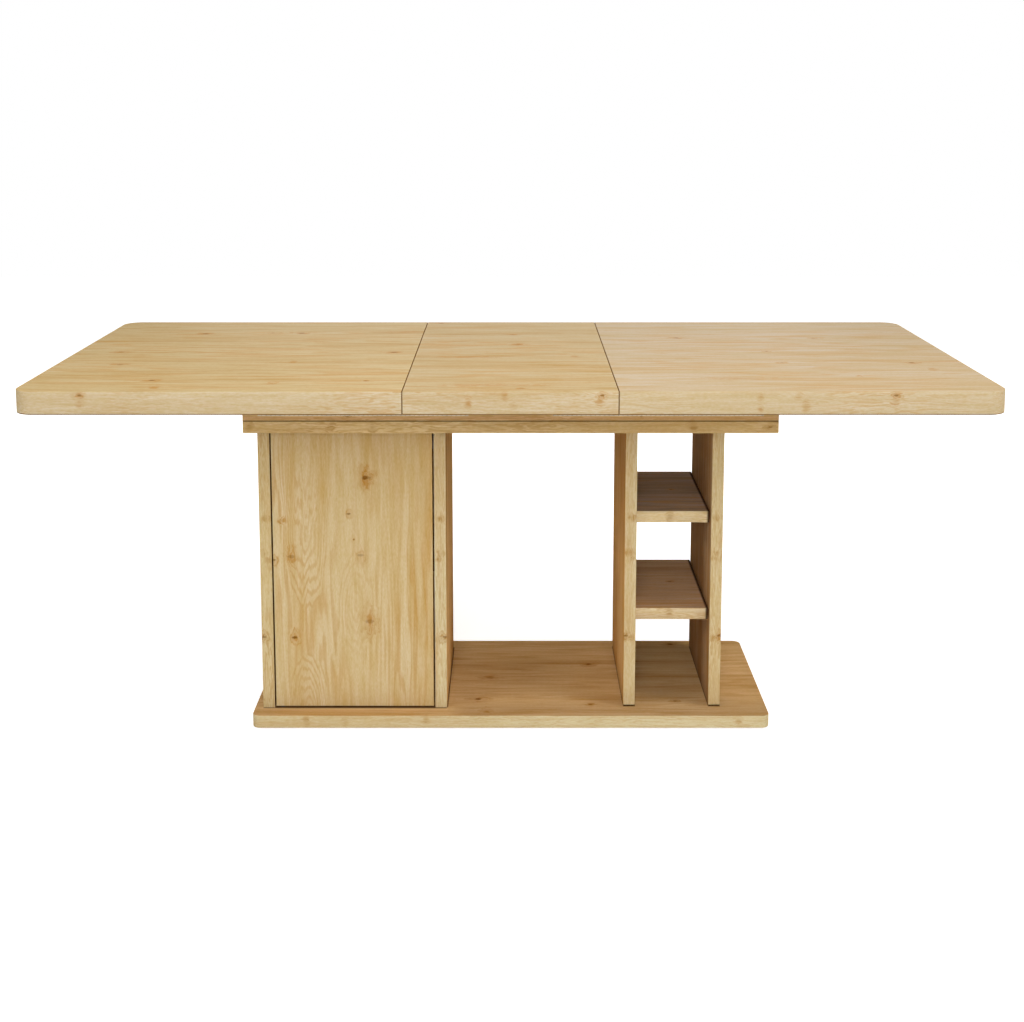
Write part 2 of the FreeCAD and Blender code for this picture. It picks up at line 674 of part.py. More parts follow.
def make_door():
    """Make the door, its pivot pins and bushes, and the strike that the latch meets."""
    length = "pivot_depth + door_gap + bush_depth - pivot_spare"
    pins = (("pivot_x", "pivot_y", "door_bottom + pivot_depth"),
            ("pivot_x", "pivot_y", "door_bottom + door_height - pivot_depth"))
    pin_sets = []
    for name, radius in (("pin", "pivot_radius"), ("hole", "pivot_radius + running")):
        pin_sets.append(together(f"pivot_{name}s", [
            rod(f"lower_pivot_{name}", radius, length, pins[0], DOWNWARD),
            rod(f"upper_pivot_{name}", radius, length, pins[1], UPWARD)]))
    publish("door_pivot_pins", pin_sets[0])
    bore = "pivot_radius + running"
    bush = turned("bush_master", ((bore, "-bush_depth"), ("bush_radius", "-bush_depth"),
                                  ("bush_radius", "0"), ("flange_radius", "0"),
                                  ("flange_radius", "flange_height"), (bore, "flange_height")))
    publish("door_pivot_bushes", together("door_pivot_bushes", [
        put(link, ("pivot_x", "pivot_y", level), turn) for link, level, turn in (
            (copy_of("lower_bush", bush), "base_top", UPWARD),
            (copy_of("upper_bush", bush), "frame_underside", DOWNWARD))]))
    spot = ("latch_x", "door_back - strike_depth", "latch_z")
    recess = rod("strike_recess", "strike_radius + running", "strike_depth", spot, BACKWARD)
    publish("latch_strike", rod("latch_strike", "strike_radius", "strike_depth", spot, BACKWARD))
    blank = slab("door_panel_blank", ("door_left", "cabinet_front", "door_bottom"),
                 ("door_width", "door_thickness", "door_height"))
    rounded(blank, any_edge, "ease")
    bored("door_panel", blank, (pin_sets[1], recess))


def copy_of(name, master):
    """Make one more copy of a master piece."""
    link = document.addObject("App::Link", name)
    link.LinkedObject = master
    return link


def make_latch():
    """Make the push latch and return the holes of its screws."""
    wall = "cabinet_right - board"
    front = "cabinet_front + latch_front"
    spots = [(f"{wall} - latch_plate", f"{front} + latch_length/2", f"latch_z {sign} latch_spread")
             for sign in "-+"]
    holes = fastened("latch_screws", "latch_screw", spots, RIGHTWARD)
    case = block("latch_case", (f"{wall} - latch_width", front, "latch_z - latch_height/2"),
                 ("latch_width", "latch_length", "latch_height"))
    plate = block("latch_plate_blank",
                  (f"{wall} - latch_plate", f"{front} + (latch_length - plate_length)/2",
                   "latch_z - plate_height/2"),
                  ("latch_plate", "plate_length", "plate_height"))
    whole = document.addObject("Part::Fuse", "latch_whole")
    whole.Base = case
    whole.Tool = plate
    bore = rod("latch_bore", "plunger_radius + plunger_play", "latch_length - latch_floor",
               ("latch_x", front, "latch_z"), BACKWARD)
    bored("latch_body", whole, (bore, holes))
    publish("latch_magnet", rod("latch_magnet", "plunger_radius", "magnet_length",
                                ("latch_x", "plunger_tip", "latch_z"), BACKWARD))
    publish("latch_plunger", rod("latch_plunger", "plunger_radius", "plunger_length",
                                 ("latch_x", "plunger_tip + magnet_length", "latch_z"), BACKWARD))
    return holes


# -------------------------------------------------------------------------------------- main

def fault_of(item):
    """Say what is wrong with an object of the document, or return None."""
    if "Invalid" in item.State or "Error" in item.State:
        return f"{item.Label}: {item.State}"
    return None


def export():
    """Check every object, then write each sub-part to its own file."""
    faults = [fault for fault in map(fault_of, document.Objects) if fault]
    for label, item in nodes.items():
        if item.Shape.isNull() or not item.Shape.isValid():
            faults.append(f"{label}: bad shape")
    if faults:
        raise RuntimeError("; ".join(faults))
    os.makedirs("parts", exist_ok=True)
    for label, item in nodes.items():
        item.Shape.exportStep(f"parts/{label}.step")
        box = item.Shape.BoundBox
        print(f"{label}: {len(item.Shape.Solids)} solids, X {box.XMin:.1f} {box.XMax:.1f},"
              f" Y {box.YMin:.1f} {box.YMax:.1f}, Z {box.ZMin:.1f} {box.ZMax:.1f}")
    print(len(nodes), "sub-parts")


def main():
    """Build the table from the floor up."""
    fill_sheet()
    panel_joints = make_panel_joints()
    latch_holes = make_latch()
    make_base(panel_joints)
    make_cabinet(panel_joints, latch_holes)
    make_column(panel_joints)
    slide_holes, member_holes = make_slides()
    make_frame(panel_joints, slide_holes)
    for side_name, side in SIDES:
        make_half(side_name, side, member_holes)
    make_leaf()
    make_door()
    document.recompute()
    export()


main()
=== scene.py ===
"""Looks of an extending kitchen table that stands on a storage cabinet and a column of shelves.

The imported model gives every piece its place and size. This script gives the boards their oak
decor, the slides and screws their steel, and builds finer surfaces where a piece is rounded,
stamped or turned. Lengths are in metres, with the floor at z = 0, the table's length along X and
the cabinet door facing -Y.
"""

import json
import logging
import math
from dataclasses import dataclass, field
from enum import Enum
from functools import cached_property, partial
from typing import Union

import bpy
import numpy as np
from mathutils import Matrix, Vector

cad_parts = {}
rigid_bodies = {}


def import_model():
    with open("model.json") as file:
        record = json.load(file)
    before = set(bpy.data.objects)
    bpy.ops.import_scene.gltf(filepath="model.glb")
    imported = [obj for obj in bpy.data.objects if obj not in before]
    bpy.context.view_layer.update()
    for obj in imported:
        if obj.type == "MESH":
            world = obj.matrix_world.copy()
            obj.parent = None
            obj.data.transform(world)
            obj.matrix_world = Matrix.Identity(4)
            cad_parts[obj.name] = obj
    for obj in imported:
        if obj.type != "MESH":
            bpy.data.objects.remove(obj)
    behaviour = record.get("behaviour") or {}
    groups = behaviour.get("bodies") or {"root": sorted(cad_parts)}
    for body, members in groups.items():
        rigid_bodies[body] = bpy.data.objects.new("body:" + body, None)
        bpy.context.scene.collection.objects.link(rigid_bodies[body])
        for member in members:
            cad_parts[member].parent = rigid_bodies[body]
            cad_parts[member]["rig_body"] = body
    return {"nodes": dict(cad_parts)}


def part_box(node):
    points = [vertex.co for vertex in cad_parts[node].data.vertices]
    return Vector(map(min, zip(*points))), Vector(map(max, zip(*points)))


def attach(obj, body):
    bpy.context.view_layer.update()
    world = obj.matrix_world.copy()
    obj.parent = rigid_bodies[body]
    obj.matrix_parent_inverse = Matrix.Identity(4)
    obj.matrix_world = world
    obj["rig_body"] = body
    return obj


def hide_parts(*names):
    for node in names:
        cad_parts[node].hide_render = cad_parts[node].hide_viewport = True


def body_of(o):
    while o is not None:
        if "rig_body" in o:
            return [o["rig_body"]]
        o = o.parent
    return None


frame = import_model()

Pair = tuple[float, float]
Vec = tuple[float, float, float]
Quad = tuple[float, float, float, float]
Material = bpy.types.Material
Object = bpy.types.Object
Socket = bpy.types.NodeSocket
Value = Union[float, Vec, Quad, Socket]

log = logging.getLogger("table")
MM = 0.001
CREASE = math.radians(32)
PITCH = 2.4 * MM
WHITE = (1.0, 1.0, 1.0, 1.0)
UP, DOWN = (0, 0, 1), (0, 0, -1)
FRONT, BACK = (0, -1, 0), (0, 1, 0)
LEFT, RIGHT = (-1, 0, 0), (1, 0, 0)
PANELS = ("cabinet_outer_side", "cabinet_inner_side", "column_inner_side", "column_outer_side")


class Grain(Enum):
    """The way that the fibres of a board run."""

    ALONG = (1, 0, 0)
    UPRIGHT = (0, 0, 1)


def tint(code: str) -> Quad:
    """Turn a screen colour of six hexadecimal digits into a linear one with full opacity."""
    shares = np.array([int(code[i:i + 2], 16) for i in (0, 2, 4)]) / 255
    linear = np.where(shares <= 0.04045, shares / 12.92, ((shares + 0.055) / 1.055) ** 2.4)
    return (float(linear[0]), float(linear[1]), float(linear[2]), 1.0)


# ------------------------------------------------------------------------------ node graphs

class Graph:
    """The node tree of a material or of the world, with a short method for each kind of node."""

    def __init__(self, owner: Union[Material, bpy.types.World]) -> None:
        """Empty the tree of a material or of the world."""
        self.owner = owner
        owner.use_nodes = True
        self.tree = owner.node_tree
        self.tree.nodes.clear()

    @cached_property
    def coordinates(self) -> bpy.types.Node:
        """Give the node with the surface's points and normals."""
        return self.node("TexCoord", {})

    @property
    def at(self) -> Socket:
        """Give the point on the object."""
        return self.coordinates.outputs["Object"]

    def put(self, socket: Socket, value: Value) -> None:
        """Link a socket to another one, or set its own value."""
        if isinstance(value, bpy.types.NodeSocket):
            self.tree.links.new(value, socket)
        else:
            socket.default_value = value

    def node(self, kind: str, inputs: dict[Union[int, str], Value],
             **settings: Union[str, bool]) -> bpy.types.Node:
        """Add a node.

        Args:
            kind: The node's type without its ShaderNode prefix.
            inputs: Values or sockets, by the name or number of the input.
            settings: The node's own properties.

        Returns:
            The new node.
        """
        made = self.tree.nodes.new(f"ShaderNode{kind}")
        for name, setting in settings.items():
            setattr(made, name, setting)
        for key, value in inputs.items():
            self.put(made.inputs[key], value)
        return made

    def math(self, operation: str, *values: Value) -> Socket:
        """Give the result of an operation on numbers."""
        made = self.node("Math", dict(enumerate(values)), operation=operation)
        return made.outputs[0]

    def vector(self, operation: str, *values: Value) -> Socket:
        """Give the vector that an operation on vectors makes."""
        made = self.node("VectorMath", dict(enumerate(values)), operation=operation)
        return made.outputs[0]

    def length(self, value: Value) -> Socket:
        """Give the length of a vector."""
        return self.node("VectorMath", {0: value}, operation="LENGTH").outputs["Value"]

    def scaled(self, value: Value, factor: Value) -> Socket:
        """Give a vector times a number."""
        return self.node("VectorMath", {0: value, "Scale": factor}, operation="SCALE").outputs[0]

    def parts(self, at: Value) -> tuple[Socket, Socket, Socket]:
        """Split a vector into its three numbers."""
        made = self.node("SeparateXYZ", {0: at})
        return made.outputs[0], made.outputs[1], made.outputs[2]

    def drawn(self, at: Value, stretch: Vec, detail: float, rough: float = 0.5,
              bend: float = 0.0) -> Socket:
        """Give a soft random pattern, finer along an axis the more the point is stretched."""
        return self.noise(self.vector("MULTIPLY", at, stretch), 1.0, detail, rough, bend)

    def noise(self, at: Value, scale: float, detail: float = 2.0, rough: float = 0.5,
              bend: float = 0.0) -> Socket:
        """Give a soft random pattern between 0 and 1."""
        made = self.node("TexNoise", {"Vector": at, "Scale": scale, "Detail": detail,
                                      "Roughness": rough, "Distortion": bend})
        return made.outputs["Fac"]

    def remap(self, value: Value, low: float, high: float, start: float = 0.0,
              end: float = 1.0) -> Socket:
        """Give a value moved from one span to another, with soft ends, and held inside it."""
        made = self.node("MapRange", {"Value": value, "From Min": low, "From Max": high,
                                      "To Min": start, "To Max": end},
                         interpolation_type="SMOOTHSTEP")
        return made.outputs["Result"]

    def blend(self, factor: Value, first: Value, second: Value) -> Socket:
        """Give a mix of two colours."""
        return self.node("Mix", {0: factor, 6: first, 7: second}, data_type="RGBA").outputs[2]

    def summed(self, total: Value, *terms: tuple[Value, Value]) -> Value:
        """Add numbers, each times its weight, to a first one."""
        for value, weight in terms:
            total = self.math("MULTIPLY_ADD", value, weight, total)
        return total

    def apart(self, value: Value, level: float) -> Socket:
        """Give how far a number is from a level."""
        return self.math("ABSOLUTE", self.math("SUBTRACT", value, level))

    def bump(self, height: Value, strength: float, distance: float) -> Socket:
        """Give the normal of a surface with this relief."""
        made = self.node("Bump", {"Height": height, "Strength": strength, "Distance": distance})
        return made.outputs[0]

    def on_view(self) -> Socket:
        """Give 1 to the rays that show the background: to the camera, in gloss, through glass."""
        path = self.node("LightPath", {}).outputs
        either = self.math("MAXIMUM", path["Is Camera Ray"], path["Is Glossy Ray"])
        return self.math("MAXIMUM", either, path["Is Transmission Ray"])

    def close(self, surface: Socket) -> Material:
        """End a material's tree with its surface, and give the material."""
        self.node("OutputMaterial", {0: surface})
        return self.owner

    def finish(self, colour: Value, roughness: Value, normal: Value, **sockets: Value
               ) -> Material:
        """Close the tree with a surface shader.

        Args:
            colour: The base colour.
            roughness: The roughness.
            normal: The bumped normal.
            sockets: Values of the shader's other inputs, with _ for the spaces in their names.

        Returns:
            The finished material.
        """
        inputs = {"Base Color": colour, "Roughness": roughness, "Normal": normal}
        inputs.update({name.replace("_", " "): value for name, value in sockets.items()})
        return self.close(self.node("BsdfPrincipled", inputs).outputs[0])


# ----------------------------------------------------------------------------------- finishes

class Mark(Enum):
    """A kind of mark.

    Its numbers are the heart's radius and darkness, the halo's radius and strength, how far the
    halo stretches along the grain, and how many growth rings run round it.
    """

    KNOT = (4.0 * MM, 0.80, 24.0 * MM, 0.95, 1.6, 1.3)
    PIN = (2.4 * MM, 0.60, 14.0 * MM, 0.90, 1.3, 1.3)
    PALE = (4.0 * MM, 0.35, 22.0 * MM, 0.90, 1.8, 1.3)
    SWIRL = (3.0 * MM, 0.06, 26.0 * MM, 0.90, 0.8, 1.3)
    BAND = (3.0 * MM, 0.05, 16.0 * MM, 0.70, 7.0, 1.3)
    SMUDGE = (2.0 * MM, 0.04, 24.0 * MM, 0.68, 0.7, 0.4)


KNOT, PIN, PALE, SWIRL, BAND, SMUDGE = Mark


@dataclass(frozen=True)
class Knot:
    """A mark in the oak decor, its place, and its size against others of its kind."""

    mark: Mark
    place: Vec
    size: float = 1.0


def marked(axis: int, level: float, *rows: tuple[Union[Mark, float], ...]) -> tuple[Knot, ...]:
    """Place marks on a face that is square to an axis.

    Args:
        axis: The axis.
        level: The face's place on it.
        rows: Each mark's kind, its places on the two other axes, and its size if it isn't 1.

    Returns:
        The marks.
    """
    knots = []
    for mark, first, second, *size in rows:
        place = [first, second]
        place.insert(axis, level)
        knots.append(Knot(mark, tuple(place), *size))
    return tuple(knots)


@dataclass(frozen=True)
class Arch:
    """A long oval swelling of the growth rings, whose ends show as nested arches.

    Its upper end reaches tail times as far as its lower one.
    """

    place: Vec
    reach: float
    half_width: float
    rings: float = 6.0
    tail: float = 1.0


@dataclass(frozen=True)
class JointOrShadeLine:
    """A dark joint line to the next board, or a line of painted shade: its axis, level and width.

    The end face in the joint stays clear, apart from a rim beside each face listed in rims.
    """

    axis: int
    level: float
    width: float
    dark: float = 0.8
    rims: tuple[tuple[int, float], ...] = ()


@dataclass(frozen=True)
class Shade:
    """A patch of painted shade on the flat face, where other boards stand close to this one.

    Its numbers are two corners in the plane of two axes, how dark it is, how wide its rim is, and
    those axes.
    """

    low: Pair
    high: Pair
    dark: float = 0.85
    soft: float = 2 * MM
    axes: tuple[int, int] = (0, 1)


# The decor's patterns: how fine each is along the grain and across it, how many finer layers it
# has, and how much it is bent.
PATTERNS = (
    (1.5, 22.0, 2.0, 0.3),     # broad streaks
    (6.5, 77.0, 3.0, 0.4),     # fine streaks
    (14.0, 210.0, 2.0, 0.2),   # fibres
    (30.0, 700.0, 1.0, 0.0),   # hairs
    (130.0, 480.0, 1.0, 0.0),  # flecks
    (2.6, 6.5, 2.0, 0.0),      # clouds
)


@dataclass(frozen=True)
class Oak:
    """Light oak decor with streaks, growth rings, pores and knots, and a paler edge band.

    The growth rings are the level lines of a slow random field, drawn out along the grain. Knots
    and arches are swellings of that field, so that the lines run round them.
    """

    name: str
    grain: Grain
    flat: Vec
    pale: str = "D9BF92"
    gold: str = "C9A264"
    line: str = "BA8840"
    amber: str = "B27E38"
    heart: str = "72450F"
    # The next colour darkens the joints and the painted shade.
    gap_and_shade: str = "3A1C06"
    band: str = "D6BC90"
    seed: float = 0.0
    streak: float = 1.0
    cloudy: float = 0.62
    figure: float = 0.45
    knots: tuple[Knot, ...] = ()
    heart_stretch: Vec = (0.6, 1.0, 1.3)
    arches: tuple[Arch, ...] = ()
    # Dark joint lines and lines of painted shade, then patches of painted shade.
    joint_and_shade_lines: tuple[JointOrShadeLine, ...] = ()
    shades: tuple[Shade, ...] = ()
    # A tint for the faces turned against flat: painted shade where it darkens, painted bounce light
    # where it lightens.
    behind: Vec = (1.0, 1.0, 1.0)
    gloss: float = 0.0
    fleck: float = 0.28

    def across(self, along: float, across: float) -> Vec:
        """Give a stretch with one value along the grain and another across it."""
        x, _, z = self.grain.value
        return (along if x else across, across, along if z else across)

    def knotted(self, g: Graph) -> tuple[Socket, Value, Value, Value]:
        """Bend the grain round the knots.

        Each knot draws the point that the pattern is read at towards itself, by a share that
        falls smoothly from its heart to the rim of its halo, so that the fibres flow round it.

        Args:
            g: The material's graph.

        Returns:
            The bent point, the swelling of the rings, and how much halo and heart there is.
        """
        ragged, rim, full, pull = 1.3, 1.5, 0.65, -0.55
        heart_ragged, heart_rim, heart_full = 1.6, 2.2, 1.3
        bent, swell, halo, heart = g.at, 0.0, 0.0, 0.0
        wobble = g.drawn(g.at, self.across(55.0, 120.0), 3.0, 0.6)
        for knot in self.knots:
            radius, dark, wide, strength, stretch, rings = knot.mark.value
            radius, wide = radius * knot.size, wide * knot.size
            away = g.vector("SUBTRACT", g.at, knot.place)
            squeezed = g.vector("MULTIPLY", away, self.across(1 / stretch, 1.0))
            distance = g.summed(g.length(squeezed), (wobble, wide * ragged))
            near = g.remap(distance, wide * rim, wide * full)
            bent = g.vector("ADD", bent, g.scaled(away, g.math("MULTIPLY", near, pull)))
            swell = g.summed(swell, (near, rings))
            halo = g.math("MAXIMUM", halo, g.math("MULTIPLY", near, strength))
            flat = g.summed(g.length(g.vector("MULTIPLY", away, self.heart_stretch)),
                            (wobble, radius * heart_ragged))
            core = g.remap(flat, radius * heart_rim, radius * heart_full, 0.0, dark)
            heart = g.math("MAXIMUM", heart, core)
        return bent, swell, halo, heart

    def swollen(self, g: Graph, at: Socket, wander: Socket, swell: Value) -> Value:
        """Add the arches' long swellings to the knots'.

        Args:
            g: The material's graph.
            at: The point on the board.
            wander: A random value that makes the ovals uneven.
            swell: The knots' swelling.

        Returns:
            The whole swelling, counted in rings.
        """
        uneven, rim, full = 0.35, 1.4, 0.25
        for arch in self.arches:
            scale = self.across(1 / arch.reach, 1 / arch.half_width)
            away = g.vector("MULTIPLY", g.vector("SUBTRACT", at, arch.place), scale)
            away = g.vector("MINIMUM", away, g.vector("MULTIPLY", away, (1, 1, 1 / arch.tail)))
            distance = g.summed(g.length(away), (wander, uneven))
            rise = g.node("MapRange", {"Value": distance, "From Min": rim, "From Max": full,
                                       "To Min": 0.0, "To Max": arch.rings}).outputs["Result"]
            swell = g.math("ADD", swell, rise)
        return swell

    def joint_and_shade_darkness(self, g: Graph, edge: Socket) -> Value:
        """Give how dark the joint lines and the painted shade make a point.

        Args:
            g: The material's graph.
            edge: How far the point is on an edge band, where no shade is painted.

        Returns:
            The darkness, from 0 to 1.
        """
        dark, core = 0.0, 0.3
        end_face, other_face, rim, rim_core = 0.97, 0.85, 3 * MM, 1.5 * MM
        places = g.parts(g.at)
        normals = g.parts(g.coordinates.outputs["Normal"])
        for joint_and_shade in self.joint_and_shade_lines:
            off = g.apart(places[joint_and_shade.axis], joint_and_shade.level)
            line = g.remap(off, joint_and_shade.width, joint_and_shade.width * core, 0.0, joint_and_shade.dark)
            clear = g.remap(g.math("ABSOLUTE", normals[joint_and_shade.axis]), end_face, other_face)
            for axis, level in joint_and_shade.rims:
                inward = g.remap(g.apart(places[axis], level), rim, rim_core)
                clear = g.math("MAXIMUM", clear, inward)
            dark = g.math("MAXIMUM", dark, g.math("MULTIPLY", line, clear))
        for shade in self.shades:
            inside = g.summed(shade.dark, (edge, -shade.dark))
            for axis, low, high in zip(shade.axes, shade.low, shade.high):
                half = (high - low) / 2
                off = g.apart(places[axis], low + half)
                within = g.remap(off, half + shade.soft / 2, half - shade.soft)
                inside = g.math("MULTIPLY", inside, within)
            dark = g.math("MAXIMUM", dark, inside)
        return dark

    def material(self) -> Material:
        """Make the decor's material."""
        g = Graph(bpy.data.materials.new(self.name))
        unrest, on_face, off_face = 0.55, 0.85, 0.6
        bent, swell, halo, heart = self.knotted(g)
        moved = g.vector("ADD", bent, (self.seed, self.seed * 1.7, self.seed * 2.3))
        broad, fine, fibre, hair, fleck, cloud = [
            g.drawn(moved, self.across(along, across), detail, unrest, bend)
            for along, across, detail, bend in PATTERNS]
        facing = g.node("VectorMath", {0: g.coordinates.outputs["Normal"], 1: self.flat},
                        operation="DOT_PRODUCT").outputs["Value"]
        edge = g.remap(g.math("ABSOLUTE", facing), on_face, off_face)

        # Growth rings are the level lines of the broad streaks, raised round knots and arches.
        rings, frayed = 9.0, 0.55
        swell = self.swollen(g, bent, fine, swell)
        slow = g.summed(broad, (edge, g.math("SUBTRACT", fine, broad)))
        level = g.summed(swell, (fibre, frayed), (slow, rings))
        ring = g.math("SINE", g.math("MULTIPLY", level, 2 * math.pi))
        drawn = g.remap(cloud, 0.35, 0.62, 0.25, 1.0)
        lines = g.math("MULTIPLY", g.remap(ring, -0.2, 1.0, 0.0, self.figure), drawn)

        # Golden streaks, rings and halos lie over the ground colour.
        gold = g.math("MULTIPLY", g.remap(broad, 0.46, 0.68), self.cloudy)
        gold = g.summed(gold, (g.remap(fine, 0.44, 0.72), 0.45 * self.streak))
        gold = g.math("MULTIPLY", gold, g.summed(1.0, (edge, -0.6)))
        ground = g.blend(edge, tint(self.pale), tint(self.band))
        colour = g.blend(g.math("MINIMUM", gold, 1.0), ground, tint(self.gold))
        halo = g.math("MULTIPLY", halo, g.remap(fine, 0.3, 0.6, 0.45, 1.0))
        halo = g.math("MULTIPLY", halo, g.remap(ring, -1.0, 1.0, 0.6, 1.0))
        colour = g.blend(lines, colour, tint(self.line))
        colour = g.blend(halo, colour, tint(self.amber))

        # Fibres and flecks darken it, in blue the most; painted shade and bounce light on turned
        # faces, hearts, joint lines and painted shade go on last.
        shade_by_colour = (0.6, 1.0, 2.2)
        shade = g.summed(-0.32, (fibre, 0.26), (hair, 0.10), (fleck, self.fleck))
        shade = g.math("ADD", shade, g.remap(cloud, 0.25, 0.75, -0.04, 0.04))
        shade = g.vector("MULTIPLY_ADD", shade, shade_by_colour, (1.0, 1.0, 1.0))
        colour = g.vector("MULTIPLY", colour, shade)
        # Painted shade and painted bounce light: faces turned against flat take the colour times
        # their tint.
        turned = g.remap(facing, -off_face, -on_face)
        colour = g.blend(turned, colour, g.vector("MULTIPLY", colour, self.behind))
        # Dark joints, and lines and patches of painted shade.
        joint_and_shade = self.joint_and_shade_darkness(g, edge)
        colour = g.blend(heart, colour, tint(self.heart))
        colour = g.blend(joint_and_shade, colour, tint(self.gap_and_shade))
        rough = g.summed(0.46, (joint_and_shade, 0.3), (fibre, 0.16))
        normal = g.bump(g.summed(fibre, (hair, 0.5)), 0.25, 0.3 * MM)
        return g.finish(colour, rough, normal, Specular_IOR_Level=self.gloss)


@dataclass(frozen=True)
class Steel:
    """Plated steel with a faint drawn grain, duller patches and, if any, a row of stamps."""

    name: str
    colour: str
    roughness: float = 0.32
    drawn: Vec = (8.0, 400.0, 400.0)
    stamp: float = 0.0
    stamp_top: float = 0.0

    def material(self) -> Material:
        """Make the steel's material."""
        g = Graph(bpy.data.materials.new(self.name))
        lines = g.drawn(g.at, self.drawn, 3.0, 0.6)
        patch = g.noise(g.at, 35.0, 3.0)
        colour = g.blend(g.remap(patch, 0.35, 0.7, 0.0, 0.35), tint(self.colour),
                         tint("8F8B84"))
        if self.stamp:
            x, _, z = g.parts(g.at)
            wave = g.math("SINE", g.math("MULTIPLY", x, 2 * math.pi / self.stamp))
            stamped = g.math("MULTIPLY", g.remap(wave, 0.0, 0.9, 0.0, 0.3),
                             g.remap(z, self.stamp_top, self.stamp_top - 0.5 * MM))
            colour = g.blend(stamped, colour, tint("7E6A50"))
        rough = g.summed(self.roughness - 0.1, (lines, 0.2))
        normal = g.bump(lines, 0.12, 0.1 * MM)
        return g.finish(colour, rough, normal, Metallic=1.0)


@dataclass(frozen=True)
class Moulded:
    """Moulded plastic with a fine orange-peel surface."""

    name: str
    colour: str
    roughness: float = 0.5

    def material(self) -> Material:
        """Make the plastic's material."""
        g = Graph(bpy.data.materials.new(self.name))
        peel = g.noise(g.at, 900.0, 2.0)
        cloud = g.noise(g.at, 40.0, 2.0)
        shade = g.blend(g.remap(cloud, 0.3, 0.7, 0.0, 0.12), tint(self.colour), tint("3A3632"))
        rough = g.summed(self.roughness, (cloud, 0.12))
        return g.finish(shade, rough, g.bump(peel, 0.2, 0.1 * MM), Specular_IOR_Level=0.45)


@dataclass(frozen=True)
class Felt:
    """Pressed felt: a fibrous mat with a soft sheen."""

    name: str
    colour: str

    def material(self) -> Material:
        """Make the felt's material."""
        g = Graph(bpy.data.materials.new(self.name))
        fibres = g.noise(g.at, 1500.0, 3.0, 0.7, 1.2)
        tufts = g.noise(g.at, 260.0, 2.0)
        colour = g.blend(g.remap(fibres, 0.3, 0.7, 0.0, 0.5), tint(self.colour), tint("8A7864"))
        relief = g.summed(fibres, (tufts, 0.7))
        return g.finish(colour, g.remap(tufts, 0.2, 0.8, 0.85, 1.0), g.bump(relief, 0.6, 0.5 * MM),
                        Sheen_Weight=0.25)


# ----------------------------------------------------------------------------------- meshes

def show(name: str, data: bpy.types.ID) -> Object:
    """Put an object with this data into the scene."""
    made = bpy.data.objects.new(name, data)
    bpy.context.scene.collection.objects.link(made)
    return made


def surface(name: str, grids: np.ndarray, material: Material) -> Object:
    """Make a mesh of closed solids from grids of points.

    In each grid the first index runs round the solid and closes on itself, and the second runs
    from one end cap to the other. Each quad joins point (i, j) to (i, j + 1), (i + 1, j + 1) and
    (i + 1, j). Faces that meet at less than the crease angle are shaded as one smooth surface.

    Args:
        name: The object's name.
        grids: Points, as an array of (solid, round, along, 3).
        material: The finish.

    Returns:
        The object, at the origin.
    """
    solids, rows, steps, _ = grids.shape
    i, j = np.meshgrid(np.arange(rows), np.arange(steps - 1), indexing="ij")
    after = (i + 1) % rows
    quads = np.stack([i * steps + j, i * steps + j + 1, after * steps + j + 1,
                      after * steps + j], axis=-1).reshape(1, -1, 4)
    ring = np.arange(rows) * steps
    caps = np.stack([ring, ring[::-1] + steps - 1])[None]
    start = np.arange(solids)[:, None, None] * rows * steps
    faces = (start + quads).reshape(-1, 4).tolist() + (start + caps).reshape(-1, rows).tolist()
    mesh = bpy.data.meshes.new(name)
    mesh.from_pydata(grids.reshape(-1, 3).tolist(), [], faces)
    mesh.polygons.foreach_set("use_smooth", np.ones(len(faces), dtype=bool))
    mesh.set_sharp_from_angle(angle=CREASE)
    mesh.materials.append(material)
    return show(name, mesh)


def lattice(*places: tuple[float, ...]) -> np.ndarray:
    """List every point whose X, Y and Z are among those given."""
    return np.stack(np.meshgrid(*places, indexing="ij"), axis=-1).reshape(-1, 3)


def middle_of(node: str) -> Vector:
    """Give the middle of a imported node's box."""
    low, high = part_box(node)
    return (low + high) / 2


def panel_spots(offset: float, level: float) -> np.ndarray:
    """List two spots in each of the four side panels, before and behind its middle."""
    middles = [middle_of(node) for node in PANELS]
    return np.array([(at.x, at.y + side * offset, level) for at in middles for side in (-1, 1)])


def from_inner_end(node: str, offsets: tuple[float, ...]) -> list[float]:
    """Give X levels at distances from the end of a node that is nearer the table's middle."""
    low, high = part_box(node)
    return [low.x + offset if low.x > 0 else high.x - offset for offset in offsets]


def spread(node: str, radius: float, counts: tuple[int, int, int], up: Vec) -> np.ndarray:
    """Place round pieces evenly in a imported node's box.

    Args:
        node: The node.
        radius: The pieces' radius.
        counts: How many stand along each axis. None stand along the axis that they lie on, and
            they start at the end of the box that up points to.
        up: The way that their tops face.

    Returns:
        The spots.
    """
    places = []
    for low, high, count, way in zip(*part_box(node), counts, up):
        evenly = np.linspace(low + radius, high - radius, count) if count > 1 else None
        places.append([high if way > 0 else low] if count == 0 else
                      [(low + high) / 2] if count == 1 else evenly)
    return lattice(*places)


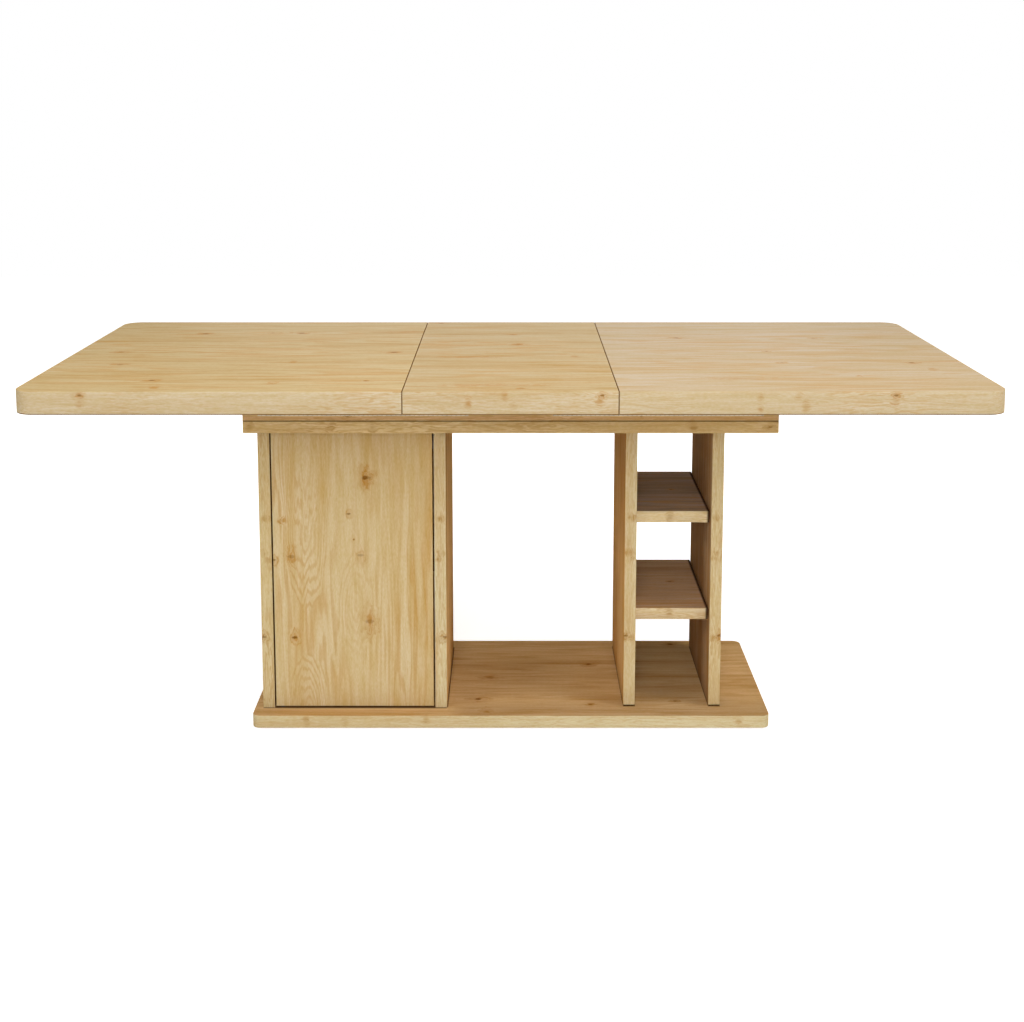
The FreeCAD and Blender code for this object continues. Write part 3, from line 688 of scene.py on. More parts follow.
@dataclass(frozen=True)
class Plate:
    """A board with rounded plan corners and eased edges.

    Its outline goes round four corner arcs: corner centre + radius * (cos a, sin a). Its section
    goes down a quarter circle, the upright edge and another quarter circle, and draws the outline
    in by ease * (1 - sin b) on the way.
    """

    low: Vec
    high: Vec
    corners: Quad
    ease: float

    def build(self, name: str, material: Material) -> Object:
        """Make the board.

        Args:
            name: The object's name.
            material: The finish.

        Returns:
            The board's object.
        """
        turn = np.linspace(0, math.pi / 2, 13)
        angles = np.concatenate([turn + quarter * math.pi / 2 for quarter in range(4)])
        radii = np.repeat(self.corners, len(turn))
        signs = np.repeat([(1, 1), (-1, 1), (-1, -1), (1, -1)], len(turn), axis=0)
        reach = np.where(signs > 0, self.high[:2], self.low[:2])
        centres = reach - signs * radii[:, None]
        rim = np.linspace(0, math.pi / 2, 7)
        inset = self.ease * (1 - np.concatenate([np.sin(rim), np.sin(rim[::-1])]))
        drop = self.ease * (1 - np.cos(rim))
        level = np.concatenate([self.high[2] - drop, self.low[2] + drop[::-1]])
        direction = np.stack([np.cos(angles), np.sin(angles)], axis=1)
        size = radii[:, None] - inset[None, :]
        plan = centres[:, None, :] + size[:, :, None] * direction[:, None, :]
        heights = np.broadcast_to(level, plan.shape[:2])[..., None]
        return surface(name, np.concatenate([plan, heights], axis=2)[None], material)


class Section(Enum):
    """The outline of a turned piece, or of the recess in its head, for the driver."""

    ROUND = 0
    HEX = 1
    CROSS = 2
    FLUTED = 3

    def shares(self, angle: np.ndarray) -> np.ndarray:
        """Give the outline's radius at each angle, as a share of the radius round it."""
        if self is Section.HEX:
            return math.cos(math.pi / 6) / np.cos(angle % (math.pi / 3) - math.pi / 6)
        if self is Section.CROSS:
            half_arm, least = 0.32, 0.01
            reach = np.abs(np.stack([np.cos(angle), np.sin(angle)]))
            arm = half_arm / reach.min(axis=0).clip(least)
            return np.minimum(1.0, np.minimum(1 / reach.max(axis=0), arm))
        if self is Section.FLUTED:
            depth, flutes = 0.05, 16
            return 1 - depth * np.cos(flutes / 2 * angle) ** 2
        return np.ones_like(angle)


@dataclass(frozen=True)
class Turned:
    """A piece worked round an axis: a screw, a dowel, a pin, a ball or a felt disc.

    Point (i, j) is spot - depth_j * up + r * (cos a_i * side + sin a_i * (up x side)). The radius
    r is radius_j, times the section's share at a_i where the ring follows it, less crest_j times
    a triangle wave of (depth_j / pitch - a_i / turn), which cuts a thread.
    """

    rings: tuple[Quad, ...]
    section: Section = Section.ROUND
    sides: int = 24

    @property
    def radius(self) -> float:
        """Give the widest ring's radius."""
        return max(ring[0] for ring in self.rings)

    def build(self, name: str, material: Material, *groups: tuple[np.ndarray, Vec]
              ) -> Object:
        """Make copies of the piece.

        Args:
            name: The object's name.
            material: The finish.
            groups: Spots and the way that their heads face.

        Returns:
            One object with all the copies.
        """
        angle = np.arange(self.sides)[:, None] * 2 * math.pi / self.sides
        radius, depth, follow, crest = np.array(self.rings).T
        wave = np.abs((depth / PITCH - angle / (2 * math.pi)) % 1 - 0.5) * 2
        reach = radius * (1 + follow * (self.section.shares(angle) - 1)) - crest * wave
        solids = []
        for spots, up in groups:
            side = np.roll(up, 1)
            plan = np.cos(angle)[..., None] * side + np.sin(angle)[..., None] * np.cross(up, side)
            offset = reach[..., None] * plan - depth[:, None] * np.array(up)
            solids.append(np.asarray(spots)[:, None, None, :] + offset)
        return surface(name, np.concatenate(solids), material)


def screw(head: float, height: float, shank: float, length: float, tapers: bool,
          section: Section) -> Turned:
    """Describe a screw with a recessed head and a thread down to its point.

    Args:
        head: The head's radius.
        height: The head's height.
        shank: The thread's outer radius.
        length: The whole length.
        tapers: Whether the head is countersunk.
        section: The outline of the driver's recess.

    Returns:
        The screw, with the middle of its head's face at the spot.
    """
    recess, rim, tip = 0.55 * head, 0.06 * head, 2 * shank
    floor, sunk, wall = 0.6 * recess, 0.75 * height, 0.6 * height
    crest, start, point = 0.25 * shank, 0.8 * shank, 0.15 * shank
    neck = shank if tapers else head
    rings = [(floor, sunk, 1.0, 0.0), (recess, wall, 1.0, 0.0), (recess, 0.0, 1.0, 0.0),
             (head - rim, 0.0, 0.0, 0.0), (head, rim, 0.0, 0.0), (neck, height, 0.0, 0.0),
             (shank, height, 0.0, 0.0)]
    depths = np.arange(height + PITCH, length - tip, PITCH / 3)
    rings += [(shank, float(depth), 0.0, crest) for depth in depths]
    rings += [(start, length - tip, 0.0, 0.0), (point, length, 0.0, 0.0)]
    return Turned(tuple(rings), section)


def rod(radius: float, length: float, ease: float, section: Section = Section.ROUND) -> Turned:
    """Describe a plain rod or disc with rounded ends: radius - ease * (1 - sin b) at each end."""
    rim = np.linspace(0, math.pi / 2, 5)
    inset, drop = ease * (1 - np.sin(rim)), ease * (1 - np.cos(rim))
    radii = np.concatenate([radius - inset, radius - inset[::-1]])
    depths = np.concatenate([drop, length - drop[::-1]])
    return Turned(tuple((float(r), float(d), 1.0, 0.0) for r, d in zip(radii, depths)), section,
                  sides=32)


def ball(radius: float) -> Turned:
    """Describe a ball about its spot: (radius * sin b, -radius * cos b)."""
    pole = 0.12
    turn = np.linspace(pole, math.pi - pole, 11)
    return Turned(tuple((float(radius * math.sin(b)), float(-radius * math.cos(b)), 0.0, 0.0)
                        for b in turn), sides=16)


@dataclass(frozen=True)
class Rolled:
    """A rolled sheet-metal section along X, listed as corners outwards from the frame's face.

    Each corner is square and gets an arc: corner + radius * (to + from) - radius * (cos b * to +
    sin b * from), where to and from are the unit steps to the next corner and to the last one.
    """

    corners: tuple[Vec, ...]

    def build(self, name: str, material: Material, low: Vec, high: Vec,
              face: int) -> Object:
        """Make the section between two X levels.

        Args:
            name: The object's name.
            material: The finish.
            low: The lowest corner of the piece's box.
            high: The highest corner of the piece's box.
            face: -1 where the section opens towards the front, and 1 towards the back.

        Returns:
            The section's object.
        """
        table = np.array(self.corners)
        points, radii = table[:, :2], table[:, 2][:, None, None]
        ahead = np.roll(points, -1, axis=0) - points
        ahead /= np.linalg.norm(ahead, axis=1, keepdims=True)
        behind = -np.roll(ahead, 1, axis=0)
        bend = np.linspace(0, math.pi / 2, 6)[None, :, None]
        ahead, behind = ahead[:, None, :], behind[:, None, :]
        arcs = points[:, None, :] + radii * (ahead + behind - np.cos(bend) * ahead
                                             - np.sin(bend) * behind)
        outline = arcs.reshape(-1, 2)[::face]
        root = high[1] if face < 0 else low[1]
        outline = np.stack([root + face * outline[:, 0], low[2] + outline[:, 1]], axis=1)
        levels = np.array([high[0], low[0]])
        grid = np.empty((len(outline), 2, 3))
        grid[..., 0], grid[..., 1:] = levels, outline[:, None, :]
        return surface(name, grid[None], material)


def channel(depth: float, height: float, gauge: float, lip: float) -> Rolled:
    """Describe a channel whose web stands on the frame's side.

    Args:
        depth: How far the flanges reach.
        height: The whole height.
        gauge: The sheet's thickness.
        lip: How far the flanges' edges turn in, or 0.

    Returns:
        The section, from its lower outer corner round to its upper one.
    """
    tip = 0.4 * gauge
    half = [(0.0, 0.0, 2 * gauge), (depth, 0.0, gauge if lip else tip)]
    if lip:
        half += [(depth, gauge + lip, tip), (depth - gauge, gauge + lip, tip),
                 (depth - gauge, gauge, 0.3 * gauge)]
    else:
        half.append((depth, gauge, tip))
    half.append((gauge, gauge, gauge))
    return Rolled(tuple(half + [(out, height - up, bend) for out, up, bend in half[::-1]]))


def dress(node: str, material: Material) -> None:
    """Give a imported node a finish."""
    mesh = frame["nodes"][node].data
    mesh.materials.clear()
    mesh.materials.append(material)
    mesh.polygons.foreach_set("material_index", np.zeros(len(mesh.polygons), dtype=np.int32))


def stand_in(piece: Object, node: str) -> None:
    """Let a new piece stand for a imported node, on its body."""
    body = body_of(frame["nodes"][node])[0]
    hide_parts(node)
    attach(piece, body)
    log.info("%s stands for %s and rides on %s", piece.name, node, body)


# ------------------------------------------------------------------------------------- table

@dataclass
class Tabletop:
    """The two halves and the leaf."""

    corner: float = 38 * MM
    square: float = 1.6 * MM
    ease: float = 1.2 * MM
    leaf_reach: float = 0.25
    # The width of the dark joints and of the painted shade line under the edge, and how far that line
    # rises above the underside.
    line: float = 1.2 * MM
    shade_line_rise: float = 1.3 * MM

    def marks(self) -> dict[str, tuple[Knot, ...]]:
        """List each board's marks: on top by x and y, and on the front edge by x and z."""
        low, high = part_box("centre_leaf")
        top, edge = partial(marked, 2, high.z), partial(marked, 1, low.y)
        return {
            "left_top": top(
                (KNOT, -0.697, 0.233), (PALE, -0.825, 0.003), (PALE, -0.790, -0.136),
                (KNOT, -0.685, -0.297), (SWIRL, -0.666, -0.361), (KNOT, -0.479, 0.242),
                (PALE, -0.545, 0.244, 0.8), (KNOT, -0.248, 0.0, 1.1),
                (SWIRL, -0.445, -0.110, 0.8), (PIN, -0.276, -0.301), (SWIRL, -0.451, -0.322),
                (BAND, -0.240, 0.257, 1.4),
            ) + edge((PIN, -0.792, 0.739, 1.1), (SMUDGE, -0.793, 0.728, 0.9)),
            "centre_leaf": top(
                (KNOT, -0.168, 0.385), (PALE, 0.003, 0.221, 0.7), (PALE, 0.015, 0.095, 1.1),
                (BAND, -0.085, -0.053, 1.3), (SWIRL, 0.133, -0.048, 0.8),
                (PALE, 0.021, -0.370, 0.7), (BAND, -0.046, -0.340, 1.4),
            ) + edge(
                (SMUDGE, -0.078, 0.724, 0.8), (SMUDGE, -0.010, 0.736, 0.7),
                (SMUDGE, 0.005, 0.720, 0.8), (PIN, 0.169, 0.739), (SMUDGE, 0.165, 0.728, 0.9),
            ),
            "right_top": top(
                (KNOT, 0.371, 0.178, 0.9), (PIN, 0.543, 0.011), (PALE, 0.677, 0.173, 0.7),
                (PALE, 0.552, -0.116, 0.7), (BAND, 0.432, -0.277, 1.2),
                (KNOT, 0.815, -0.118, 0.8), (SWIRL, 0.838, -0.187, 0.8),
                (SWIRL, 0.676, -0.254, 0.7),
            ) + edge(
                (SMUDGE, 0.460, 0.734, 0.7), (SMUDGE, 0.460, 0.714, 0.6),
                (SMUDGE, 0.530, 0.738, 0.7), (SMUDGE, 0.544, 0.718, 0.9), (PIN, 0.709, 0.739),
                (SMUDGE, 0.708, 0.728, 0.9),
            ),
        }

    def build(self) -> None:
        """Build the three boards of the top and dress them."""
        square, corner = self.square, self.corner
        boards = {"left_top": ((square, corner, corner, square), "C0A97D", "B18C4C"),
                  "centre_leaf": ((square,) * 4, "BDA77F", "AF8B4A"),
                  "right_top": ((corner, square, square, corner), "C0AD90", "B69864")}
        marks = self.marks()
        for number, (node, (corners, pale, gold)) in enumerate(boards.items()):
            low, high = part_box(node)
            rims = ((1, low.y), (1, high.y), (2, high.z))
            dark = [JointOrShadeLine(0, x, self.line, 0.95, rims) for x in (low.x, high.x)
                    if abs(x) < self.leaf_reach]
            # A line of painted shade along the board's lower edge.
            dark.append(JointOrShadeLine(2, low.z + self.shade_line_rise, self.line, 0.9))
            decor = Oak(f"oak_{node}", Grain.ALONG, UP, pale=pale, gold=gold, cloudy=0.35,
                        streak=1.15, band="CCBA98", gap_and_shade="6A4400", gloss=0.009,
                        seed=3.1 + 2.7 * number, knots=marks[node], joint_and_shade_lines=tuple(dark))
            board = Plate(tuple(low), tuple(high), corners, self.ease)
            stand_in(board.build(f"{node}_board", decor.material()), node)


@dataclass
class Pedestal:
    """The base board, the cabinet, the column of shelves and the frame."""

    # Painted shade in the door's gap on the cabinet sides: its half width and set-back, then its
    # depth.
    gap_and_shade: float = 2 * MM
    gap_shade_depth: float = 18 * MM
    # Painted shade on the panels' inner faces towards head and foot: from height, to height,
    # darkness, rim.
    head_shade: Quad = (0.40, 0.90, 0.35, 240 * MM)
    foot_shade: Quad = (-0.1, 0.058, 0.36, 50 * MM)
    edge_marks: tuple[tuple[Mark, float, float, float], ...] = (
        (PIN, 0.181, 0.16, 1.2), (SMUDGE, 0.177, 0.48, 0.9), (SMUDGE, 0.358, 0.40, 0.9),
        (SMUDGE, 0.346, 0.72, 0.7), (SMUDGE, 0.432, 0.55, 0.9))

    def build(self) -> None:
        """Dress the boards."""
        self.sides()
        self.shelves()
        dress("door_panel", self.door().material())
        dress("base_board", self.base().material())
        dress("frame_board", self.rails("oak_frame_board", "E7CC95").material())
        rail = self.rails("oak_rails", "E2BC87").material()
        for side in ("front", "back", "left", "right"):
            dress(f"frame_{side}_rail", rail)
        dress("cabinet_back", Oak("oak_back", Grain.UPRIGHT, BACK, seed=13.0).material())

    @staticmethod
    def level_shade(low: float, high: float, dark: float, soft: float) -> Shade:
        """Describe painted shade between two heights, all the way across a panel."""
        beyond = 2.0
        return Shade((-beyond, low), (beyond, high), dark, soft, (1, 2))

    def sides(self) -> None:
        """Dress the four side panels.

        Their front bands carry the same marks by height and share of the width, and every other
        panel is turned about. The inner faces get painted shade towards their head and their foot.
        """
        # The amber tone is painted bounce light on the cabinet's inner side; the last numbers tint
        # the faces turned left, with painted bounce light on the column's inner side and painted
        # shade on its outer side.
        plain, amber = ("D9BF92", "C9A264"), ("FDD695", "CB9D66")
        looks = {"cabinet_outer_side": (False, plain, "D8C494", (1.0, 1.0, 1.0)),
                 "cabinet_inner_side": (True, amber, "DECFA4", (0.86, 1.12, 2.45)),
                 "column_inner_side": (False, plain, "DFCFA6", (1.20, 1.05, 0.84)),
                 "column_outer_side": (True, plain, "D9C699", (0.76, 0.66, 0.64))}
        for number, (node, (flipped, (pale, gold), band, behind)) in enumerate(looks.items()):
            low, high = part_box(node)
            start, end = (high.x, low.x) if flipped else (low.x, high.x)
            marks = [Knot(mark, (start + share * (end - start), low.y, level), size)
                     for mark, level, share, size in self.edge_marks]
            dark = []
            # Painted shade on the cabinet sides, in the gap beside the door.
            if node.startswith("cabinet"):
                dark.append(Shade((end - self.gap_and_shade, low.y + self.gap_and_shade),
                                  (end + self.gap_and_shade, low.y + self.gap_shade_depth)))
            # Painted shade towards the head of the inner sides, and towards the foot of all but the
            # cabinet's outer side.
            if node.endswith("inner_side"):
                dark.append(self.level_shade(*self.head_shade))
            if node != "cabinet_outer_side":
                dark.append(self.level_shade(*self.foot_shade))
            decor = Oak(f"oak_{node}", Grain.UPRIGHT, RIGHT, pale=pale, gold=gold, band=band,
                        seed=11.0 + 1.3 * number, knots=tuple(marks), shades=tuple(dark),
                        behind=behind)
            dress(node, decor.material())

    def shelves(self) -> None:
        """Dress the three shelves."""
        # The column's shelves are darker than the cabinet's: painted shade, the upper one the most.
        tones = {"cabinet_shelf": ("C8A870", "B08850"), "column_lower_shelf": ("C09E7D", "A6815D"),
                 "column_upper_shelf": ("A48E7C", "857460")}
        for number, (node, (pale, gold)) in enumerate(tones.items()):
            low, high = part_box(node)
            marks = marked(1, low.y, (SMUDGE, 0.327, (low.z + high.z) / 2, 0.9))
            marks += marked(2, high.z, (PIN, 0.345, 0.02))
            # The wide dark line at each shelf's right end is painted shade in the gap beside the
            # panel.
            decor = Oak(f"oak_{node}", Grain.ALONG, UP, pale=pale, gold=gold, band="E5D0A5",
                        amber="AE804A", heart="5C4024", seed=19.0 + number, knots=marks,
                        joint_and_shade_lines=(JointOrShadeLine(0, high.x, 7 * MM, 0.95),))
            dress(node, decor.material())

    def base(self) -> Oak:
        """Describe the base board's decor, with painted shade round and between the boards on it."""
        low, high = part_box("base_board")
        marks = marked(2, high.z, (KNOT, -0.069, -0.120, 1.1), (SWIRL, -0.050, -0.178),
                       (PALE, -0.045, -0.010, 1.2), (KNOT, 0.172, 0.064), (PIN, 0.165, -0.145),
                       (PIN, 0.343, -0.129), (KNOT, 0.367, 0.179))
        marks += marked(1, low.y, (SMUDGE, -0.418, 0.018, 0.8), (SMUDGE, -0.338, 0.017, 0.8),
                        (SMUDGE, -0.174, 0.017, 0.7), (SMUDGE, 0.465, 0.018, 0.9))
        columns = [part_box(node) for node in ("column_inner_side", "column_outer_side")]
        (outer, outer_end), (inner, inner_end) = [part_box(f"cabinet_{side}_side")
                                                  for side in ("outer", "inner")]
        face = inner.y
        # Painted shade under the column's sides, in the gap below their feet.
        dark = [Shade((start.x - 1 * MM, start.y - 3 * MM), (end.x + 1.5 * MM, end.y))
                for start, end in columns]
        # Painted shade under the door, along the cabinet's front, and beside the cabinet in the
        # passage.
        dark += [Shade((outer_end.x + 1 * MM, face + 1.5 * MM), (inner.x - 1 * MM, -0.147)),
                 Shade((outer.x, face - 4.5 * MM), (inner_end.x, -0.154), 0.8),
                 Shade((-0.150, face), (inner_end.x + 2.5 * MM, inner_end.y))]
        # Soft painted shade: along the front, right of the cabinet, in the passage and in the column.
        dark += [Shade((-1.0, -0.35), (1.0, -0.125), 0.12, 60 * MM),
                 Shade((-0.14, -0.35), (1.0, -0.115), 0.30, 60 * MM),
                 Shade((-0.14, -0.2), (0.245, 0.10), 0.12, 60 * MM),
                 Shade((0.25, -0.2), (0.42, 0.2), 0.25, 30 * MM)]
        return Oak("oak_base", Grain.ALONG, UP, shades=tuple(dark), pale="DBB682", gold="C1965A",
                   band="DACA9F", seed=17.0, knots=marks, figure=0.28, streak=1.2)

    def rails(self, name: str, band: str) -> Oak:
        """Describe the decor of the frame or of its board."""
        low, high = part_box("frame_board")
        level, rail = 0.636, 0.659
        marks = marked(1, low.y, (SMUDGE, -0.354, level), (SMUDGE, -0.273, level),
                       (SMUDGE, 0.359, level), (PALE, 0.513, level, 0.6),
                       (SMUDGE, -0.515, level, 0.9), (PIN, -0.322, rail, 0.7),
                       (PIN, 0.257, rail, 0.7))
        joint = JointOrShadeLine(2, high.z + 0.4 * MM, 1.8 * MM)
        # A line of painted shadow along the rail's top, below the slide.
        slide_shadow = JointOrShadeLine(2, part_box("frame_front_rail")[1].z - 0.6 * MM, 2.0 * MM, 0.3)
        return Oak(name, Grain.ALONG, UP, pale="D3AF72", gold="BC8C48", band=band,
                   seed=23.0, knots=marks, joint_and_shade_lines=(joint, slide_shadow))

    def door(self) -> Oak:
        """Describe the door's decor: its knots, its arched rings, and edge bands dark with painted
        shade.
        """
        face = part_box("door_panel")[0].y
        knots = marked(1, face, (KNOT, -0.294, 0.517, 1.25), (SWIRL, -0.284, 0.524),
                       (PIN, -0.330, 0.442), (PIN, -0.320, 0.388, 0.7), (PIN, -0.484, 0.345, 1.3),
                       (PALE, -0.448, 0.352), (KNOT, -0.444, 0.180, 0.8),
                       (PALE, -0.290, 0.214, 1.4), (PALE, -0.306, 0.355, 0.9),
                       (SWIRL, -0.465, 0.428, 0.7))
        arches = (Arch((-0.417, face, 0.398), 0.130, 0.036, 7.0, 2.5),
                  Arch((-0.417, face, 0.020), 0.100, 0.036, 6.0),
                  Arch((-0.3165, face, 0.250), 0.090, 0.030, 5.0),
                  Arch((-0.420, face, 0.560), 0.120, 0.050, 5.0))
        # The dark brown edge band is painted shade in the gaps round the door.
        return Oak("oak_door", Grain.UPRIGHT, BACK, pale="DAC496", gold="C9A35E", line="C0893C",
                   amber="BC8538", band="7A4A20", seed=5.0, cloudy=0.42, figure=0.38,
                   streak=0.9, knots=knots, arches=arches)


@dataclass
class Fittings:
    """Everything that isn't a decor board: slides, battens, screws, latch, pivots and felts."""

    gauge: float = 1.4 * MM
    lip: float = 0.5 * MM
    ball: float = 1.5 * MM
    screw_place: float = 110 * MM
    dowel_place: float = 60 * MM
    frame_pitch: float = 240 * MM
    end_place: float = 100 * MM
    member_holes: tuple[float, ...] = (27 * MM, 207 * MM, 387 * MM)
    batten_holes: tuple[float, ...] = (20 * MM, 190 * MM, 330 * MM, 540 * MM)
    sheet_screw: float = 16 * MM
    finishes: dict[str, Material] = field(default_factory=dict)

    def build(self) -> None:
        """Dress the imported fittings, then build the finer ones."""
        beech = Oak("beech", Grain.ALONG, UP, pale="D9BC8C", gold="C9A26A", seed=29.0,
                    streak=0.5)
        upright = Oak("beech_dowel", Grain.UPRIGHT, RIGHT, pale="DDC396", gold="CDA970",
                      seed=31.0, streak=0.5)
        finishes = {
            "slide_fixed": Steel("slide_steel", "CDC0AB", 0.42, stamp=9.1 * MM,
                                 stamp_top=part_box("left_front_slide_fixed")[0].z + 3 * MM),
            "slide_moving": Steel("member_steel", "CFC8BE"),
            "ball_cage": Steel("cage_steel", "B4B0A8"),
            "slide_balls": Steel("ball_steel", "DADADC", 0.15),
            "screws": Steel("screw_steel", "C9BE9C", 0.35),
            "pins": Steel("pin_steel", "C4C2BC", 0.3),
            "strike": Steel("strike_steel", "CFCFCC", 0.4),
            "magnet": Steel("magnet_steel", "B5B5B8", 0.3),
            "batten": beech,
            "dowels": upright,
            "leaf_pegs": upright,
            "bushes": Moulded("bush_plastic", "4A3E33"),
            "spacers": Moulded("spacer_plastic", "3A3028"),
            "latch_body": Moulded("latch_white", "DAD8D0"),
            "latch_plunger": Moulded("plunger_grey", "A8A6A0"),
            "pads": Felt("pad_felt", "4C4036"),
            "glides": Felt("glide_felt", "55483C"),
        }
        self.finishes = {ending: finish.material() for ending, finish in finishes.items()}
        for node in frame["nodes"]:
            for ending, material in self.finishes.items():
                if node.endswith(ending):
                    dress(node, material)
        self.screws()
        self.rods()
        self.slides()

    def place(self, node: str, ending: str, kind: Turned,
              *groups: tuple[np.ndarray, Vec]) -> None:
        """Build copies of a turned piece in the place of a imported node."""
        stand_in(kind.build(f"{node}_turned", self.finishes[ending], *groups), node)

    def screws(self) -> None:
        """Build the screws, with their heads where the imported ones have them."""
        long_screw = screw(5 * MM, 4.5 * MM, 3.5 * MM, 50 * MM, False, Section.HEX)
        wood_screw = screw(4.4 * MM, 2.6 * MM, 2.2 * MM, 48 * MM, True, Section.CROSS)
        batten_screw = screw(4.2 * MM, 2.4 * MM, 2.1 * MM, 45 * MM, True, Section.CROSS)
        sheet_screw = screw(3.4 * MM, 1.4 * MM, 2.0 * MM, self.sheet_screw, False,
                            Section.CROSS)
        for node, up in (("base_screws", DOWN), ("frame_board_screws", UP)):
            spots = panel_spots(self.screw_place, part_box(node)[0 if up is DOWN else 1].z)
            self.place(node, "screws", long_screw, (spots, up))
        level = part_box("frame_screws")[0].z
        end, rail = middle_of("frame_right_rail").x, middle_of("frame_back_rail").y
        steps = [step * self.frame_pitch for step in range(-2, 3)]
        spots = np.concatenate([lattice(steps, (-rail, rail), (level,)),
                                lattice((-end, end), (-self.end_place, self.end_place), (level,))])
        self.place("frame_screws", "screws", wood_screw, (spots, DOWN))
        for side in ("left", "right"):
            places = from_inner_end(f"{side}_back_batten", self.batten_holes)
            middle, level = middle_of(f"{side}_back_batten").y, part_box(f"{side}_batten_screws")[0].z
            self.place(f"{side}_batten_screws", "screws", batten_screw,
                       (lattice(places, (-middle, middle), (level,)), DOWN))
            places = from_inner_end(f"{side}_back_slide_moving", self.member_holes)
            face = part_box(f"{side}_member_screws")[1].y - self.sheet_screw
            level = middle_of(f"{side}_member_screws").z
            self.place(f"{side}_member_screws", "screws", sheet_screw,
                       (lattice(places, (-face,), (level,)), BACK),
                       (lattice(places, (face,), (level,)), FRONT))
        places = [x for side in ("left", "right")
                  for x in from_inner_end(f"{side}_back_slide_fixed", self.member_holes)]
        face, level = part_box("slide_screws")[1].y, middle_of("slide_screws").z
        self.place("slide_screws", "screws", sheet_screw,
                   (lattice(places, (-face,), (level,)), FRONT),
                   (lattice(places, (face,), (level,)), BACK))

    def rods(self) -> None:
        """Build the dowels, pegs, pins, balls, felts and the latch's round pieces."""
        low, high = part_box("panel_dowels")
        dowel = rod(4 * MM, 30 * MM, 1.2 * MM, Section.FLUTED)
        self.place("panel_dowels", "dowels", dowel,
                   (panel_spots(self.dowel_place, low.z), DOWN),
                   (panel_spots(self.dowel_place, high.z), UP))
        back_dowel = rod(3 * MM, 24 * MM, 1 * MM, Section.FLUTED)
        pivot, shelf_pin = rod(3 * MM, 25 * MM, 0.6 * MM), rod(2.5 * MM, 16 * MM, 0.6 * MM)
        strike, magnet = rod(5 * MM, 1.5 * MM, 0.3 * MM), rod(4.2 * MM, 3 * MM, 0.4 * MM)
        table = (
            ("shelf_dowels", "dowels", dowel, (0, 2, 2), (LEFT, RIGHT)),
            ("cabinet_back_dowels", "dowels", back_dowel, (0, 1, 3), (LEFT, RIGHT)),
            ("cabinet_shelf_pins", "pins", shelf_pin, (0, 2, 1), (LEFT, RIGHT)),
            ("leaf_pegs", "leaf_pegs", rod(4 * MM, 27 * MM, 1.8 * MM), (2, 2, 0), (UP,)),
            ("leaf_pads", "pads", rod(8 * MM, 2 * MM, 0.7 * MM), (3, 2, 0), (UP,)),
            ("floor_glides", "glides", rod(15 * MM, 3 * MM, 0.8 * MM), (3, 2, 0), (UP,)),
            ("door_pivot_pins", "pins", pivot, (1, 1, 0), (DOWN, UP)),
            ("latch_strike", "strike", strike, (1, 0, 1), (BACK,)),
            ("latch_magnet", "magnet", magnet, (1, 0, 1), (FRONT,)),
            ("latch_plunger", "latch_plunger", rod(4.2 * MM, 50 * MM, 0.4 * MM), (1, 0, 1),
             (FRONT,)),
            ("left_slide_balls", "slide_balls", ball(self.ball), (6, 2, 2), (UP,)),
            ("right_slide_balls", "slide_balls", ball(self.ball), (6, 2, 2), (UP,)),
        )
        for node, ending, kind, counts, ways in table:
            groups = [(spread(node, kind.radius, counts, way), way) for way in ways]
            self.place(node, ending, kind, *groups)

    def slides(self) -> None:
        """Build the rolled members of the slides."""
        for side in ("left", "right"):
            for name, face in (("front", -1), ("back", 1)):
                for member, lip, opening in (("fixed", self.lip, face), ("moving", 0.0, -face)):
                    node = f"{side}_{name}_slide_{member}"
                    low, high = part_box(node)
                    section = channel(high.y - low.y, high.z - low.z, self.gauge, lip)
                    piece = section.build(f"{node}_rolled", self.finishes[f"slide_{member}"],
                                          tuple(low), tuple(high), opening)
                    stand_in(piece, node)


# ------------------------------------------------------------------------------------ studio

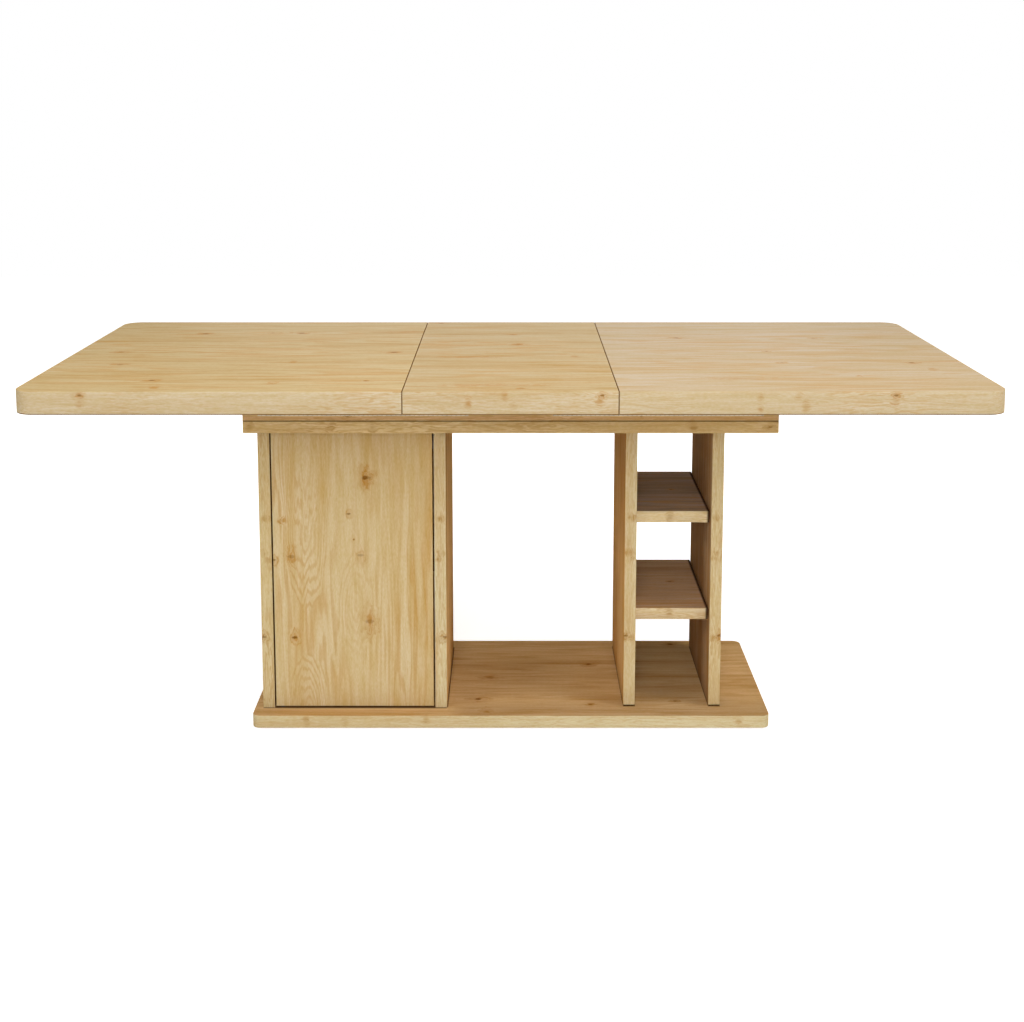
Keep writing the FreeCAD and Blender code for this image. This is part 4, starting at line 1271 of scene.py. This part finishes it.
@dataclass
class Studio:
    """The floor, the lamps and the camera."""

    focal: float = 49.47
    eye: Vec = (0.005, -2.936, 1.285)
    tilt: float = 7.30
    shift: Pair = (-0.0012, -0.2295)
    room: float = 14.0
    aim: Vec = (0.0, -0.2, 0.45)
    lamp_distance: float = 4.0
    lamps: tuple[tuple[str, float, float, Pair, float], ...] = (
        ("front_softbox", 0, 25, (1.0, 1.2), 43.5),
        ("raised_softbox", 0, 40, (1.0, 1.2), 20.5),
        ("high_softbox", 0, 76, (3.0, 1.6), 102.0),
        ("left_softbox", -60, 30, (1.6, 1.6), 36.5),
        ("right_softbox", 72, 30, (1.6, 1.6), 62.0),
        ("back_softbox", 180, 16, (3.0, 1.2), 36.0),
    )
    room_light: Quad = (1.0, 0.88, 0.72, 1.0)
    room_strength: float = 0.03
    floor_tones: tuple[Quad, Quad] = ((0.80, 0.79, 0.77, 1.0), (0.82, 0.81, 0.79, 1.0))
    glow_reach: Pair = (0.6, 3.0)
    glow: Pair = (0.76, 1.05)

    def build(self) -> None:
        """Set up the studio."""
        self.camera()
        self.world()
        self.floor()
        for lamp in self.lamps:
            self.lamp(*lamp)
        bpy.context.scene.view_settings.view_transform = "Standard"

    def camera(self) -> None:
        """Stand the camera in front of the table."""
        data = bpy.data.cameras.new("camera")
        data.lens = self.focal
        data.sensor_width = 36.0
        data.shift_x, data.shift_y = self.shift
        data.clip_end = 60.0
        made = show("camera", data)
        made.location = self.eye
        made.rotation_euler = (math.radians(90 - self.tilt), 0.0, 0.0)
        bpy.context.scene.camera = made

    def world(self) -> None:
        """Give the room a soft white light, and the background plain white."""
        world = bpy.data.worlds.new("room")
        bpy.context.scene.world = world
        g = Graph(world)
        soft = g.node("Background", {"Color": self.room_light, "Strength": self.room_strength})
        plain = g.node("Background", {"Color": WHITE})
        mix = g.node("MixShader", {0: g.on_view(), 1: soft.outputs[0], 2: plain.outputs[0]})
        g.node("OutputWorld", {0: mix.outputs[0]})

    def floor(self) -> None:
        """Lay a pale floor that shows white, more so far out, and keeps a faint shadow."""
        half = self.room / 2
        mesh = bpy.data.meshes.new("floor")
        corners = [(-half, -half, 0.0), (half, -half, 0.0), (half, half, 0.0), (-half, half, 0.0)]
        mesh.from_pydata(corners, [], [(0, 1, 2, 3)])
        g = Graph(bpy.data.materials.new("pale_floor"))
        shade = g.blend(g.noise(g.at, 3.0, 2.0), *self.floor_tones)
        matt = g.node("BsdfDiffuse", {"Color": shade})
        strength = g.remap(g.length(g.at), *self.glow_reach, *self.glow)
        glow = g.node("Emission", {"Color": WHITE, "Strength": strength})
        both = g.node("AddShader", {0: matt.outputs[0], 1: glow.outputs[0]})
        mix = g.node("MixShader", {0: g.on_view(), 1: matt.outputs[0], 2: both.outputs[0]})
        mesh.materials.append(g.close(mix.outputs[0]))
        show("floor", mesh)

    def lamp(self, name: str, turn: float, rise: float, size: Pair,
             power: float) -> None:
        """Hang a softbox that faces the table.

        Args:
            name: The lamp's name.
            turn: Degrees round the table from its front, towards its right.
            rise: Degrees above the level.
            size: Its width and height.
            power: Its power in watts.
        """
        side, up = math.radians(turn), math.radians(rise)
        back = Vector((math.sin(side) * math.cos(up), -math.cos(side) * math.cos(up),
                       math.sin(up)))
        data = bpy.data.lights.new(name, "AREA")
        data.shape = "RECTANGLE"
        data.size, data.size_y = size
        data.energy = power
        made = show(name, data)
        made.location = Vector(self.aim) + back * self.lamp_distance
        made.rotation_euler = back.to_track_quat("Z", "Y").to_euler()


# -------------------------------------------------------------------------------------- main


def main() -> None:
    """Build the table's looks in order, from the top down, and then the studio."""
    logging.basicConfig(level=logging.INFO, format="%(message)s")
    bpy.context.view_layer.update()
    Tabletop().build()
    Pedestal().build()
    Fittings().build()
    Studio().build()


if __name__ == "__main__":
    main()
